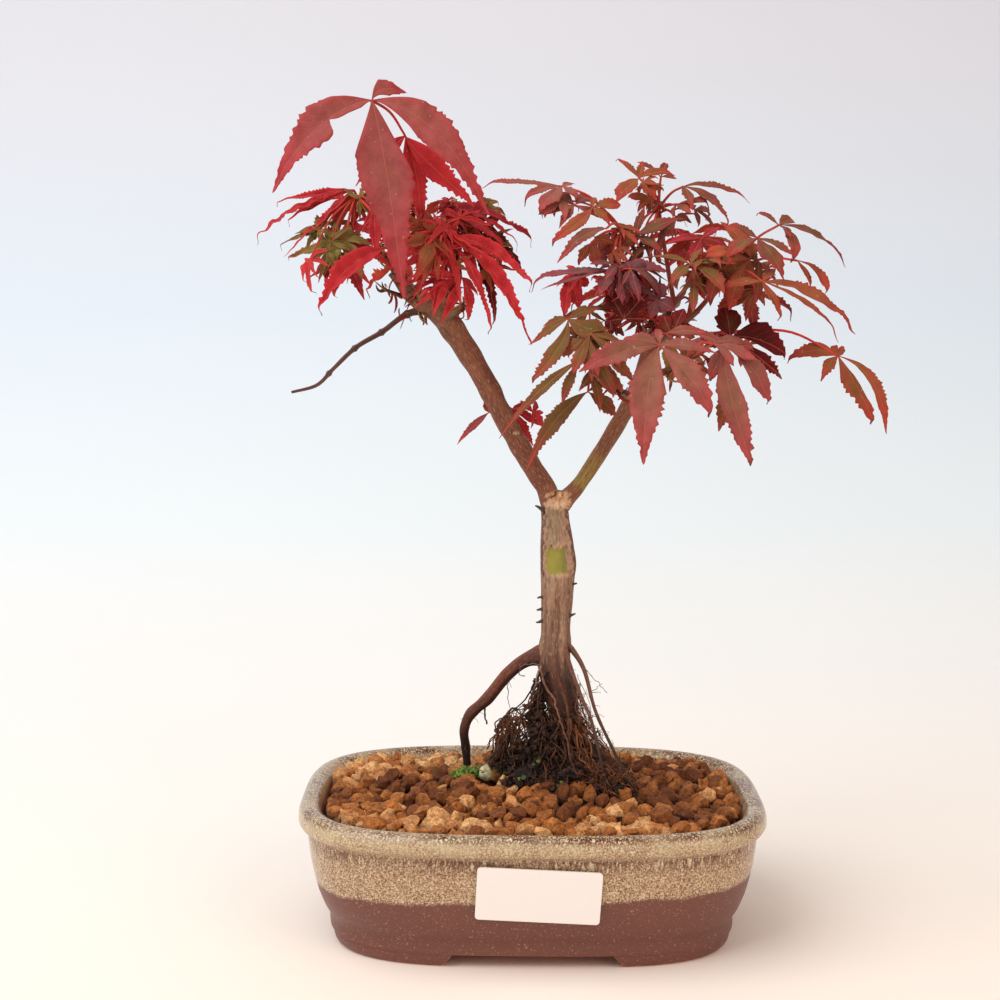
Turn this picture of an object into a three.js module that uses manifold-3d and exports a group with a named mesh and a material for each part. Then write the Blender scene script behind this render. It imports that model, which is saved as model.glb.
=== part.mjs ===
// Berry broom Japanese maple bonsai in a glazed oval pot.
// Millimetres, +Z up, +Y away from the viewer, the tree's two crowns spread along X.
import * as THREE from 'three';
import { mergeVertices } from 'three/addons/utils/BufferGeometryUtils.js';
import Module from 'manifold-3d';

const wasm = await Module();
wasm.setup();

// Driving dimensions of the pot
const POT_LENGTH = 182;
const POT_DEPTH = 130;
const POT_HEIGHT = 54;
const OVAL_POWER = 3.4;
const POT_SIDES = 36;
const FOOT_HEIGHT = 5;
const FOOT_INNER_SIDES = 20;
const FLOOR_TOP = 9.5;
const DRAIN_RADIUS = 8;
const DRAIN_SPACING = 84;
const MESH_WIDTH = 24;
const MESH_THICKNESS = 0.8;
const MESH_SLOT_WIDTH = 4;
const MESH_SLOT_LENGTH = 18;
const MESH_SLOT_STEP = 7;
const FOOT_GAP_LENGTH = 70;
const FOOT_GAP_DEPTH = 62;

// Wall of the pot from the edge of its underside up and over the lip to the floor inside:
// how far each ring lies inside the widest line of the lip, and its height
const POT_PROFILE = [
  [12.6, FOOT_HEIGHT],
  [11.7, 7.4],
  [12, 9.6],
  [9.9, 13.5],
  [7.3, 20],
  [5.3, 28],
  [4, 36],
  [3.2, 44.6],
  [0.9, 46.4],
  [0, 49.4],
  [3.4, POT_HEIGHT],
  [7, 53.4],
  [9, 50],
  [11, 30],
  [15, 14],
  [19, FLOOR_TOP],
];

// Clearance kept between pieces that touch
const GAP = 0.32;

// Edges shorter than this are drawn together where limbs and blades run into each other
const SLIVER = 0.02;

// Soil: a mound of fired clay granules
const SOIL_EDGE = 50.6;
const SOIL_CROWN = 6.8;
const GRANULE_SPACING = 14;
const GRANULE_RISE = 3.2;

// Blank plant card stuck to the front of the pot
const CARD_WIDTH = 45.7;
const CARD_HEIGHT = 21.2;
const CARD_THICKNESS = 0.6;
const CARD_CORNER = 1.6;
const CARD_LEAN = 9.7;
const CARD_FRONT = 60.8;
const CARD_MIDDLE = 31.5;
const CARD_OFFSET = 1.7;
const CARD_TILT = 2.6;

// Foliage
const BLADE_THICKNESS = 0.68;
const PETIOLE_RADIUS = 0.75;
const SHOOT_RADIUS = 1.05;

// Seeded random numbers, so that each build is the same
function randomFrom(seed) {
  let state = seed;
  return () => {
    state = (state * 1664525 + 1013904223) % 4294967296;
    return state / 4294967296;
  };
}

function vec([x, y, z]) {
  return new THREE.Vector3(x, y, z);
}

// A closed geometry from shared corners and triangles
function closedGeometry(corners, triangles) {
  const geometry = new THREE.BufferGeometry();
  geometry.setAttribute('position', new THREE.Float32BufferAttribute(corners.flat(), 3));
  geometry.setIndex(triangles.flat());
  return geometry;
}

// The same geometry as a solid that can be joined and cut
function solidFrom(geometry) {
  const bare = geometry.clone();
  bare.deleteAttribute('normal');
  bare.deleteAttribute('uv');
  const merged = mergeVertices(bare, 1e-4);
  return new wasm.Manifold(new wasm.Mesh({
    numProp: 3,
    vertProperties: new Float32Array(merged.attributes.position.array),
    triVerts: new Uint32Array(merged.index.array),
  }));
}

// A solid's triangles as geometry; only its largest body is kept, so no loose scrap is left
function geometryFrom(solid) {
  const bodies = solid.simplify(SLIVER).decompose();
  let largest = bodies[0];
  for (const body of bodies) {
    if (body.volume() > largest.volume()) largest = body;
  }
  const mesh = largest.getMesh();
  const geometry = new THREE.BufferGeometry();
  geometry.setAttribute('position', new THREE.BufferAttribute(new Float32Array(mesh.vertProperties), 3));
  geometry.setIndex(new THREE.BufferAttribute(new Uint32Array(mesh.triVerts), 1));
  return geometry;
}

function joined(geometries) {
  return geometries.map(solidFrom).reduce((whole, next) => whole.add(next));
}

function finish(name, geometry, colour, roughness, metalness = 0) {
  geometry.computeVertexNormals();
  const material = new THREE.MeshStandardMaterial({ color: colour, roughness, metalness });
  const mesh = new THREE.Mesh(geometry, material);
  mesh.name = name;
  return mesh;
}

// Rings of equal count joined bottom to top, with a flat or pointed cap at each end
function ringStack(rings) {
  const count = rings[0].length;
  const corners = rings.flat();
  const triangles = [];
  for (let r = 0; r + 1 < rings.length; r += 1) {
    for (let i = 0; i < count; i += 1) {
      const a = r * count + i;
      const b = r * count + (i + 1) % count;
      triangles.push([a, b, b + count], [a, b + count, a + count]);
    }
  }
  const capCentre = (ring) => {
    const sum = ring.reduce((s, p) => [s[0] + p[0], s[1] + p[1], s[2] + p[2]], [0, 0, 0]);
    return sum.map((value) => value / count);
  };
  const bottom = corners.push(capCentre(rings[0])) - 1;
  const top = corners.push(capCentre(rings[rings.length - 1])) - 1;
  const last = (rings.length - 1) * count;
  for (let i = 0; i < count; i += 1) {
    const j = (i + 1) % count;
    triangles.push([bottom, j, i], [top, last + i, last + j]);
  }
  return closedGeometry(corners, triangles);
}

// One horizontal ring of the pot's rounded outline, drawn in by an inset
function ovalRing(inset, height, sides = POT_SIDES) {
  const ring = [];
  for (let i = 0; i < sides; i += 1) {
    const turn = (i + 0.5) / sides * 2 * Math.PI;
    const x = Math.sign(Math.cos(turn)) * Math.abs(Math.cos(turn)) ** (2 / OVAL_POWER);
    const y = Math.sign(Math.sin(turn)) * Math.abs(Math.sin(turn)) ** (2 / OVAL_POWER);
    ring.push([(POT_LENGTH / 2 - inset) * x, (POT_DEPTH / 2 - inset) * y, height]);
  }
  return ring;
}

// A round limb through given points, its radius running through given values;
// grow makes it thicker and longer, for the hole that it stands in
function limb(points, radii, sides, steps, grow = 0) {
  const path = new THREE.CatmullRomCurve3(points.map(vec), false, 'centripetal');
  const frames = path.computeFrenetFrames(steps, false);
  const rings = [];
  for (let s = 0; s <= steps; s += 1) {
    const t = s / steps;
    const at = t * (radii.length - 1);
    const i = Math.min(Math.floor(at), radii.length - 2);
    const radius = THREE.MathUtils.lerp(radii[i], radii[i + 1], at - i) + grow;
    const centre = path.getPointAt(t);
    const push = s === 0 ? -grow : s === steps ? grow : 0;
    centre.addScaledVector(frames.tangents[s], push);
    const ring = [];
    for (let k = 0; k < sides; k += 1) {
      const turn = k / sides * 2 * Math.PI;
      const spoke = frames.normals[s].clone().multiplyScalar(Math.cos(turn) * radius);
      spoke.addScaledVector(frames.binormals[s], Math.sin(turn) * radius);
      ring.push(centre.clone().add(spoke).toArray());
    }
    rings.push(ring);
  }
  return ringStack(rings);
}

function boxAt(length, depth, height, x, y, z) {
  const box = new THREE.BoxGeometry(length, depth, height);
  box.translate(x, y, z);
  return box;
}

function drainPlug(side, radius, bottom, top) {
  const plug = new THREE.CylinderGeometry(radius, radius, top - bottom, 20);
  plug.rotateX(Math.PI / 2);
  plug.translate(side * DRAIN_SPACING / 2, 0, (top + bottom) / 2);
  return plug;
}

// The pot: one fired shell, its four corner feet left by a cross cut under the floor
function makePot() {
  const shell = solidFrom(ringStack(POT_PROFILE.map(([inset, height]) => ovalRing(inset, height))));
  const footRing = solidFrom(ringStack([
    ovalRing(15.4, 0),
    ovalRing(13.4, 1.4),
    ovalRing(12.6, FOOT_HEIGHT + 0.5),
  ]));
  const inside = solidFrom(ringStack([
    ovalRing(30, -1, FOOT_INNER_SIDES),
    ovalRing(27, FOOT_HEIGHT + 1, FOOT_INNER_SIDES),
  ]));
  const slopedGap = (length, depth, alongX) => {
    const outline = new THREE.Shape();
    outline.moveTo(-length / 2, -1);
    outline.lineTo(length / 2, -1);
    outline.lineTo(length / 2 - 6, FOOT_HEIGHT + 1);
    outline.lineTo(-length / 2 + 6, FOOT_HEIGHT + 1);
    const cut = new THREE.ExtrudeGeometry(outline, { depth, bevelEnabled: false });
    cut.translate(0, 0, -depth / 2);
    cut.rotateX(Math.PI / 2);
    if (!alongX) cut.rotateZ(Math.PI / 2);
    return solidFrom(cut);
  };
  let feet = footRing.subtract(inside);
  feet = feet.subtract(slopedGap(FOOT_GAP_LENGTH, POT_DEPTH + 10, true));
  feet = feet.subtract(slopedGap(FOOT_GAP_DEPTH, POT_LENGTH + 10, false));
  let pot = shell.add(feet);
  for (const side of [-1, 1]) {
    pot = pot.subtract(solidFrom(drainPlug(side, DRAIN_RADIUS, 0, FLOOR_TOP + 2)));
  }
  return finish('pot', geometryFrom(pot), 0x8a6a55, 0.32);
}

// A square of plastic mesh over each drain hole, its openings joined into three slots
function drainMesh(side) {
  const x = side * DRAIN_SPACING / 2;
  const middle = FLOOR_TOP + GAP + MESH_THICKNESS / 2;
  let plate = solidFrom(boxAt(MESH_WIDTH, MESH_WIDTH, MESH_THICKNESS, x, 0, middle));
  for (const slot of [-1, 0, 1]) {
    const slotX = x + slot * MESH_SLOT_STEP;
    plate = plate.subtract(solidFrom(boxAt(MESH_SLOT_WIDTH, MESH_SLOT_LENGTH, 2, slotX, 0, middle)));
  }
  return plate;
}

// Height of the soil's mound, highest round the roots
function moundHeight(x, y) {
  return SOIL_EDGE + SOIL_CROWN * Math.exp(-((x - 6) ** 2) / 4200 - ((y - 6) ** 2) / 1500);
}

// Granules in an uneven honeycomb: each cell has six low shared corners and a raised,
// tilted three-cornered stone on top, so the surface is packed stones with creases between
function granuleBed() {
  const random = randomFrom(71);
  const columns = 8;
  const rows = 7;
  const halfStep = GRANULE_SPACING * 0.5;
  const rowStep = GRANULE_SPACING * 0.866;
  const corners = [];
  const triangles = [];
  const shared = new Map();
  const cornerAt = (x, y) => {
    const key = `${Math.round(x * 8)}_${Math.round(y * 8)}`;
    if (!shared.has(key)) {
      const px = x + (random() - 0.5) * 2.4;
      const py = y + (random() - 0.5) * 2.4;
      shared.set(key, corners.push([px, py, moundHeight(px, py) - random() * 0.8]) - 1);
    }
    return shared.get(key);
  };
  const edges = new Map();
  const addFace = (a, b, c) => {
    triangles.push([a, b, c]);
    for (const [p, q] of [[a, b], [b, c], [c, a]]) edges.set(`${p}_${q}`, [p, q]);
  };
  for (let row = -rows; row <= rows; row += 1) {
    for (let column = -columns; column <= columns; column += 1) {
      const x = column * GRANULE_SPACING + (row % 2 ? halfStep : 0);
      const y = row * rowStep;
      const reach = GRANULE_SPACING / Math.sqrt(3);
      const low = [];
      for (let k = 0; k < 6; k += 1) {
        const turn = (k + 0.5) / 6 * 2 * Math.PI;
        low.push(cornerAt(x + reach * Math.cos(turn), y + reach * Math.sin(turn)));
      }
      const middle = low.reduce((s, i) => [s[0] + corners[i][0] / 6, s[1] + corners[i][1] / 6], [0, 0]);
      const rise = GRANULE_RISE * (0.55 + random() * 0.75);
      const tiltX = (random() - 0.5) * 0.35;
      const tiltY = (random() - 0.5) * 0.35;
      const high = [0, 2, 4].map((k) => {
        const keep = 0.55 + random() * 0.22;
        const hx = (corners[low[k]][0] - middle[0]) * keep;
        const hy = (corners[low[k]][1] - middle[1]) * keep;
        const hz = moundHeight(middle[0], middle[1]) + rise + hx * tiltX + hy * tiltY;
        return corners.push([middle[0] + hx, middle[1] + hy, hz + (random() - 0.5)]) - 1;
      });
      for (let k = 0; k < 3; k += 1) {
        const n = (k + 1) % 3;
        addFace(low[2 * k], low[2 * k + 1], high[k]);
        addFace(low[2 * k + 1], high[n], high[k]);
        addFace(low[2 * k + 1], low[2 * n], high[n]);
      }
      addFace(high[0], high[1], high[2]);
    }
  }
  const rim = [...edges.values()].filter(([p, q]) => !edges.has(`${q}_${p}`));
  const sunk = new Map();
  const sink = (i) => {
    if (!sunk.has(i)) sunk.set(i, corners.push([corners[i][0], corners[i][1], 0]) - 1);
    return sunk.get(i);
  };
  const base = corners.push([0, 0, 0]) - 1;
  for (const [p, q] of rim) {
    triangles.push([p, sink(p), sink(q)], [p, sink(q), q], [sink(q), sink(p), base]);
  }
  return closedGeometry(corners, triangles);
}

// The soil fills the pot; every root, the root ball and the pebble stand in holes in it
function makeSoil(standing) {
  const inner = POT_PROFILE.slice(-4).reverse();
  const rings = inner.map(([inset, height]) => ovalRing(inset + GAP, height + GAP));
  rings.push(ovalRing(inner[3][0] + GAP, POT_HEIGHT + 14));
  let soil = solidFrom(ringStack(rings)).intersect(solidFrom(granuleBed()));
  for (const thing of standing) soil = soil.subtract(thing);
  return finish('soil', geometryFrom(soil), 0x94552c, 0.95);
}

// The tree's limbs: points down the middle, radii along them, sides and steps
const LIMBS = [
  // bole, from inside the soil up to the swelling under the fork
  {
    points: [[15, 0, 50], [13, 4, 72], [10, 6, 90], [8.5, 6, 104], [9, 6, 117], [9.5, 6, 134],
      [9.2, 6, 150], [8.2, 6, 164], [7.6, 6, 172]],
    radii: [2.2, 3.2, 4.2, 6.6, 5.7, 5.5, 6.3, 7, 6],
    sides: 9,
    steps: 11,
  },
  // left branch, up to the broken crown
  {
    points: [[8, 6, 163], [4.5, 6, 173], [-0.5, 5, 181], [-9.5, 4, 196], [-19.5, 2, 215],
      [-30.5, 1, 233], [-38, 0, 242], [-48, -1, 249], [-55, -2, 257]],
    radii: [4.6, 4.2, 3.9, 4.1, 4.2, 4.2, 4.9, 3.4, 2],
    sides: 7,
    steps: 10,
  },
  // right branch
  {
    points: [[8.5, 6, 164], [16.8, 6, 173.5], [24.6, 6, 185.5], [34, 6, 201], [39, 5, 211],
      [44, 4, 227], [47, 3, 240]],
    radii: [3.8, 2.9, 3, 3.2, 3, 2.6, 1.8],
    sides: 7,
    steps: 7,
  },
  // thick root that strides out to the left
  {
    points: [[9, 6, 108], [-2.5, 7, 104], [-9.5, 9, 98], [-17.8, 12, 87], [-25, 14, 79.5],
      [-27.3, 15, 73], [-26.6, 17, 65], [-25.7, 19, 52]],
    radii: [4.2, 2.9, 2.5, 2.5, 2.3, 1.9, 1.7, 1.5],
    sides: 6,
    steps: 8,
  },
  // two thin roots down to the right
  {
    points: [[12, 4.5, 113], [16.3, 4, 108], [20.2, 3, 101.5], [24.7, -2, 86], [31, -8, 73], [41, -15, 54]],
    radii: [1.4, 1.1, 1, 0.9],
    sides: 4,
    steps: 5,
  },
  {
    points: [[11, 2, 115], [13.8, 0.5, 105.8], [19, -3.5, 92], [23, -8, 83], [27, -14, 66], [29, -16, 54]],
    radii: [1.4, 1.1, 1, 0.9],
    sides: 4,
    steps: 5,
  },
  // stubs and twigs of the left crown
  { points: [[-36, 0, 241], [-33, -1, 248], [-31, -2, 255]], radii: [2.8, 2.2, 1.3], sides: 4, steps: 2 },
  { points: [[-35, -3, 240], [-29, -5, 243], [-23, -6, 246]], radii: [2.4, 1.8, 1.5], sides: 4, steps: 2 },
  { points: [[-37, 2, 241], [-36, 8, 247], [-34, 11, 251]], radii: [2.6, 1.8, 1.2], sides: 4, steps: 2 },
  { points: [[-44, -3, 246], [-44.5, -6, 249], [-45, -8, 252]], radii: [1.8, 1.4, 1.1], sides: 4, steps: 2 },
  // bare dead twig reaching left, with its kinks
  {
    points: [[-41, 0, 243], [-50, -1, 240.5], [-59, -2, 234], [-69, -3, 228], [-78, -2, 219.5],
      [-84, -2, 213.5], [-94, -2, 210.5]],
    radii: [2, 1.1, 1, 0.9, 0.8, 0.7, 0.55],
    sides: 4,
    steps: 6,
  },
  // twigs of the right crown
  { points: [[44, 4, 226], [46, 1, 235], [44, -2, 247]], radii: [1.9, 1.5, 1.1], sides: 4, steps: 2 },
  { points: [[45, 4, 230], [54, 1, 236], [62, -2, 243]], radii: [1.9, 1.5, 1.1], sides: 4, steps: 2 },
  { points: [[45, 4, 232], [52, 9, 243], [58, 13, 250]], radii: [1.8, 1.4, 1.1], sides: 4, steps: 2 },
  { points: [[43, 4, 222], [44, 11, 230], [43, 19, 236]], radii: [1.8, 1.4, 1.1], sides: 4, steps: 2 },
  { points: [[42, 4, 216], [52, 0, 220], [60, -4, 222]], radii: [1.8, 1.4, 1.1], sides: 4, steps: 2 },
  { points: [[38, 5, 208], [34, -2, 211], [31, -6, 213]], radii: [1.7, 1.3, 1], sides: 4, steps: 2 },
];

// Short dead stubs on the bole: where each starts under the bark and the way that it points
const STUB_LENGTH = 4.6;
const STUBS = [
  [[5.4, 4.2, 129.5], [-1, -0.3, 0.05]],
  [[5.2, 4.2, 124.5], [-1, -0.2, 0.2]],
  [[5, 4.2, 120.5], [-1, -0.3, 0]],
  [[13.4, 4.2, 136], [1, -0.4, 0]],
  [[13, 4.2, 123], [1, -0.4, 0.1]],
  [[4, 3.6, 165], [-1, -0.4, 0.3]],
];

function treeParts(grow) {
  const parts = LIMBS.map(({ points, radii, sides, steps }) => limb(points, radii, sides, steps, grow));
  for (const [place, way] of STUBS) {
    const tip = vec(place).addScaledVector(vec(way).normalize(), STUB_LENGTH).toArray();
    parts.push(limb([place, tip], [1.1, 0.35], 4, 1, grow));
  }
  return parts;
}

// Fine roots spread from the foot of the bole down to the soil round the peat that they hold
function fineRoots() {
  const random = randomFrom(17);
  const roots = [];
  const count = 9;
  for (let i = 0; i < count; i += 1) {
    const turn = (i + random() * 0.6) / count * 2 * Math.PI;
    const spread = 14 + random() * 7;
    const startHeight = 88 + random() * 15;
    const footX = 10 + spread * 1.2 * Math.cos(turn);
    const footY = 5 + spread * 0.75 * Math.sin(turn);
    const waist = 0.42 + random() * 0.14;
    const points = [
      [10 + 3 * Math.cos(turn), 6 + 3 * Math.sin(turn), startHeight],
      [10 + (footX - 10) * waist * 0.62, 6 + (footY - 6) * waist * 0.62, startHeight - 14],
      [10 + (footX - 10) * (waist + 0.25), 6 + (footY - 6) * (waist + 0.25), 70 + random() * 5],
      [footX, footY, 55],
    ];
    roots.push({ points, radius: 0.95 + random() * 0.5 });
  }
  return roots;
}

// The lump of old peat: height and reach of its uneven rings, wide at the soil and narrow
// at the top; the third value is the way that an end ring moves when the lump is grown
const PEAT_RINGS = [
  [49, 15, -1],
  [54, 22, 0],
  [59, 27, 0],
  [64, 21, 0],
  [70, 14, 0],
  [77, 8, 0],
  [84, 4, 1],
];

function peatLump(grow) {
  const random = randomFrom(5);
  const rings = [];
  const sides = 12;
  for (const [height, reach, end] of PEAT_RINGS) {
    const ring = [];
    for (let i = 0; i < sides; i += 1) {
      const turn = i / sides * 2 * Math.PI;
      const wide = reach * (0.82 + random() * 0.32) + grow;
      ring.push([
        12 - (76 - height) * 0.06 + wide * 1.02 * Math.cos(turn),
        5 + wide * 0.66 * Math.sin(turn),
        height + (random() - 0.5) * 2 + end * grow * 2,
      ]);
    }
    rings.push(ring);
  }
  return ringStack(rings);
}

function rootBallParts(grow) {
  const parts = [peatLump(grow)];
  for (const { points, radius } of fineRoots()) {
    parts.push(limb(points, [radius, radius * 0.9, radius * 0.7], 4, 4, grow));
  }
  return parts;
}

// A pale pebble on the soil in front of the thick root
function pebble(grow) {
  const stone = new THREE.IcosahedronGeometry(3.4 + grow, 1);
  stone.scale(1.05, 0.9, 1);
  stone.translate(-18, 2, 59);
  return stone;
}

// The blank card: rounded corners, turned a little clockwise, leaning with the wall
function makeCard() {
  const w = CARD_WIDTH / 2;
  const h = CARD_HEIGHT / 2;
  const r = CARD_CORNER;
  const outline = new THREE.Shape();
  outline.moveTo(-w + r, -h);
  outline.lineTo(w - r, -h);
  outline.quadraticCurveTo(w, -h, w, -h + r);
  outline.lineTo(w, h - r);
  outline.quadraticCurveTo(w, h, w - r, h);
  outline.lineTo(-w + r, h);
  outline.quadraticCurveTo(-w, h, -w, h - r);
  outline.lineTo(-w, -h + r);
  outline.quadraticCurveTo(-w, -h, -w + r, -h);
  const card = new THREE.ExtrudeGeometry(outline, {
    depth: CARD_THICKNESS,
    bevelEnabled: false,
    curveSegments: 4,
  });
  card.rotateZ(THREE.MathUtils.degToRad(-CARD_TILT));
  card.rotateX(THREE.MathUtils.degToRad(90 + CARD_LEAN));
  card.translate(CARD_OFFSET, -CARD_FRONT, CARD_MIDDLE);
  return finish('label_card', card, 0xf4efec, 0.5);
}

// Leaf colours: fresh leaves are scarlet, older ones dusty rose, olive or maroon
const HUES = {
  rose: 0x9c4a4c,
  scarlet: 0xc2303a,
  crimson: 0xa32530,
  maroon: 0x66202a,
  purple: 0x74424c,
  olive: 0x7a5a34,
  orange: 0xa5532f,
  green: 0x8c8a3c,
};

// Each spray has the middle line of its shoot and its leaves. A leaf has its hub, the way
// its upper face looks, and its lobes: the tip's place from the hub (x, y, z), the widest
// width of the lobe and how far its rib bows sideways
const SPRAYS = [
  {
    name: 'spray_left_top',
    shoot: [[-50, -2, 252], [-53, -24, 283], [-60, -39, 317]],
    leaves: [
      { hub: [-60, -39, 317], face: [0, -9, 3], hue: 'rose',
        lobes: [[-36, -4, -32, 14.5, -4.5], [12, -8, -70, 19.5, 1], [42, -2, -40, 13.5, 7],
          [12, 5, 3, 7.0, 3]],
      },
      { hub: [-49, -24, 306], face: [1, -9, 3], hue: 'scarlet',
        lobes: [[-19, 2, -18, 5.0, 0], [6, 6, -33, 8.0, 1], [26, 4, -25, 9.0, -2]],
      },
    ],
  },
  {
    name: 'spray_left_outer',
    shoot: [[-54, -2, 256], [-62, -8, 270], [-68, -12, 285]],
    leaves: [
      { hub: [-69, -13, 287], face: [-2, -8, 5], hue: 'scarlet',
        lobes: [[-32, 6, -5, 3.0, 1], [-27, 0, -12, 3.0, 1], [-38, -6, -20, 5.0, -2],
          [-25, -9, -25, 3.0, 2], [-17, -3, -20, 3.5, 0], [-9, 4, -18, 5.0, 0]],
      },
      { hub: [-71, -24, 268], face: [0, -8, 6], hue: 'green',
        lobes: [[2, 5, 6, 3.5, 0], [-23, 2, -7, 3.5, 1], [-9, -2, -14, 6.0, 0], [7, -4, -14, 7.5, 0],
          [11, 0, -2, 5.0, 0]],
      },
      { hub: [-55, -32, 265], face: [0, -8, 5], hue: 'scarlet',
        lobes: [[-27, -2, -24, 7.5, -3], [5, 0, -11, 3.5, 0]],
      },
      { hub: [-71, -14, 262], face: [-1, -8, 4], hue: 'crimson',
        lobes: [[-17, -2, -10, 3.5, 0], [-6, 2, -16, 5.0, 0], [6, 2, -16, 4.5, 0]],
      },
    ],
  },
  {
    name: 'spray_left_front',
    shoot: [[-45, -6, 251], [-42, -16, 261], [-38, -24, 269]],
    leaves: [
      { hub: [-39, -25, 270], face: [0, -9, 4], hue: 'orange',
        lobes: [[-2, 5, 9, 5.0, 0], [-14, 0, -5, 4.5, 1], [-6, -3, -17, 6.5, 1], [7, -2, -9, 3.5, 0]],
      },
      { hub: [-33, -21, 269], face: [1, -8, 5], hue: 'scarlet',
        lobes: [[5, -6, -26, 3.5, 0], [17, -4, -36, 4.5, 2], [31, -2, -39, 7.5, 4],
          [33, 2, -19, 6.0, 4]],
      },
    ],
  },
  {
    name: 'spray_left_inner',
    shoot: [[-34, 0, 248], [-30, -2, 261], [-34, -4, 277]],
    leaves: [
      { hub: [-38, -8, 281], face: [1, -7, 7], hue: 'crimson',
        lobes: [[13, -4, -11, 4.0, 0], [27, -3, -16, 5.0, 1], [33, 0, -15, 4.0, 2],
          [39, 4, -13, 5.5, 2]],
      },
      { hub: [-23, -1, 271], face: [1, -8, 5], hue: 'maroon',
        lobes: [[8, -4, -35, 5.5, 0], [18, 2, -15, 6.5, 2]],
      },
      { hub: [-24, 4, 282], face: [0, -7, 7], hue: 'green',
        lobes: [[5, -3, -5, 3.0, 0], [12, -2, -3, 3.5, 0], [10, 4, 2, 3.0, 0]],
      },
    ],
  },
  {
    name: 'spray_left_back',
    shoot: [[-38, 8, 249], [-43, 18, 263], [-45, 26, 275]],
    leaves: [
      { hub: [-45, 27, 277], face: [0, 2, 9], hue: 'crimson',
        lobes: [[-20, 12, -7, 6.5, 0], [1, 20, -15, 7.0, 0], [20, 10, -5, 6.5, 0],
          [14, -4, 10, 5.0, 0], [-11, -2, 13, 5.0, 0]],
      },
      { hub: [-51, 16, 261], face: [-3, 2, 9], hue: 'scarlet',
        lobes: [[-20, -4, 0, 4.0, 0], [-17, 8, -13, 5.0, 0], [2, 14, -15, 5.0, 0]],
      },
    ],
  },
  {
    name: 'spray_right_front',
    shoot: [[59.5, -4, 222], [57, -22, 226], [55, -38, 230]],
    leaves: [
      { hub: [43, -50, 231], face: [0, -8, 6], hue: 'rose',
        lobes: [[0, 8, 6, 3.0, 0], [-14, 4, 2, 5.0, -1], [-29, -6, -9, 8.5, -1],
          [-6, -12, -41, 13.0, -2], [19, -8, -25, 10.5, 1], [21, 0, -3, 5.5, 1]],
      },
      { hub: [68, -38, 231], face: [0, -8, 5], hue: 'rose',
        lobes: [[-10, 3, 4, 3.5, 0], [-6, -3, -13, 6.0, 0], [10, -10, -45, 9.5, -3],
          [17, -2, -22, 8.0, 2], [11, 6, -1, 3.5, 0]],
      },
      { hub: [71, -30, 215], face: [0, -9, 3], hue: 'olive',
        lobes: [[-4, -2, -16, 6.5, 0], [4, -2, -12, 5.0, 0]],
      },
    ],
  },
  {
    name: 'spray_right_low',
    shoot: [[35, 2, 211], [26, -14, 215], [20, -24, 222]],
    leaves: [
      { hub: [11, -30, 240], face: [0, -8, 6], hue: 'olive',
        lobes: [[13, 6, 4, 5.0, 0], [-9, 4, -3, 3.5, 0], [-14, 0, -10, 4.0, 0], [-14, -6, -24, 6.5, 3],
          [19, -2, -9, 10.0, -1]],
      },
      { hub: [15, -38, 225], face: [-1, -8, 5], hue: 'olive',
        lobes: [[-29, -6, -28, 4.0, -1], [-6, 4, -16, 4.0, 0]],
      },
      { hub: [19, -26, 213], face: [-1, -8, 5], hue: 'olive',
        lobes: [[-23, -10, -28, 6.5, -2], [11, 2, -9, 6.5, 0], [14, 6, 3, 3.5, 1]],
      },
      { hub: [22, -20, 232], face: [0, -8, 6], hue: 'green',
        lobes: [[-10, -2, -4, 3.0, 0], [-2, 2, -5, 3.5, 0]],
      },
    ],
  },
  {
    name: 'spray_right_west',
    shoot: [[44, -1.8, 246.5], [39, -4, 262], [32, -8, 273]],
    leaves: [
      { hub: [9, -12, 289], face: [0, -6, 8], hue: 'rose',
        lobes: [[6, -4, -5, 5.0, 0], [5, 6, 1, 3.0, 0], [-31, 2, 1, 3.5, 2], [-15, -6, -5, 3.0, 0],
          [-9, -8, -10, 8.5, 0]],
      },
      { hub: [20, -18, 281], face: [0, -7, 6], hue: 'orange',
        lobes: [[-16, -6, -14, 5.5, 2], [7, -2, -7, 4.5, 0], [11, 6, 1, 5.5, 0], [1, 3, 4, 3.0, 0]],
      },
      { hub: [25, -24, 273], face: [-1, -7, 6], hue: 'rose',
        lobes: [[-18, -4, -13, 5.0, -2], [-6, 3, -2, 3.0, 0]],
      },
      { hub: [20, -14, 268], face: [0, -8, 4], hue: 'orange',
        lobes: [[-5, -3, -8, 4.0, 0], [2, -4, -9, 5.5, 0], [11, 2, -2, 4.0, 2]],
      },
    ],
  },
  {
    name: 'spray_right_fall',
    shoot: [[45, 0, 239], [36, -11, 246], [29, -20, 256]],
    leaves: [
      { hub: [28, -22, 258], face: [0, -6, 8], hue: 'purple',
        lobes: [[-32, -6, -4, 5.0, 2], [-27, -10, -8, 3.0, 1], [-6, -6, -10, 5.5, 0],
          [21, 6, -1, 6.0, 1], [7, 9, 2, 3.5, 0]],
      },
      { hub: [12, -14, 256], face: [0, -9, 3], hue: 'scarlet',
        lobes: [[-2, -4, -16, 5.0, 0], [4, -2, -13, 6.0, 0], [8, 2, -4, 4.5, 0]],
      },
    ],
  },
  {
    name: 'spray_right_top',
    shoot: [[54, 10, 245], [50, 9, 265], [47, 8, 282]],
    leaves: [
      { hub: [39, 4, 293], face: [0, -5, 8], hue: 'orange',
        lobes: [[-9, 4, 8, 3.0, 0], [-9, -8, -9, 8.0, 0], [2, 9, 7, 3.0, 0], [14, 2, 2, 4.5, 1],
          [6, -6, -8, 4.0, 0]],
      },
      { hub: [48, 12, 294], face: [0, -4, 9], hue: 'rose',
        lobes: [[-9, 2, 6, 3.0, 0], [3, 8, 6, 3.0, 0], [6, -2, -1, 3.0, 0]],
      },
      { hub: [56, 4, 290], face: [0, -5, 8], hue: 'rose',
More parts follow.
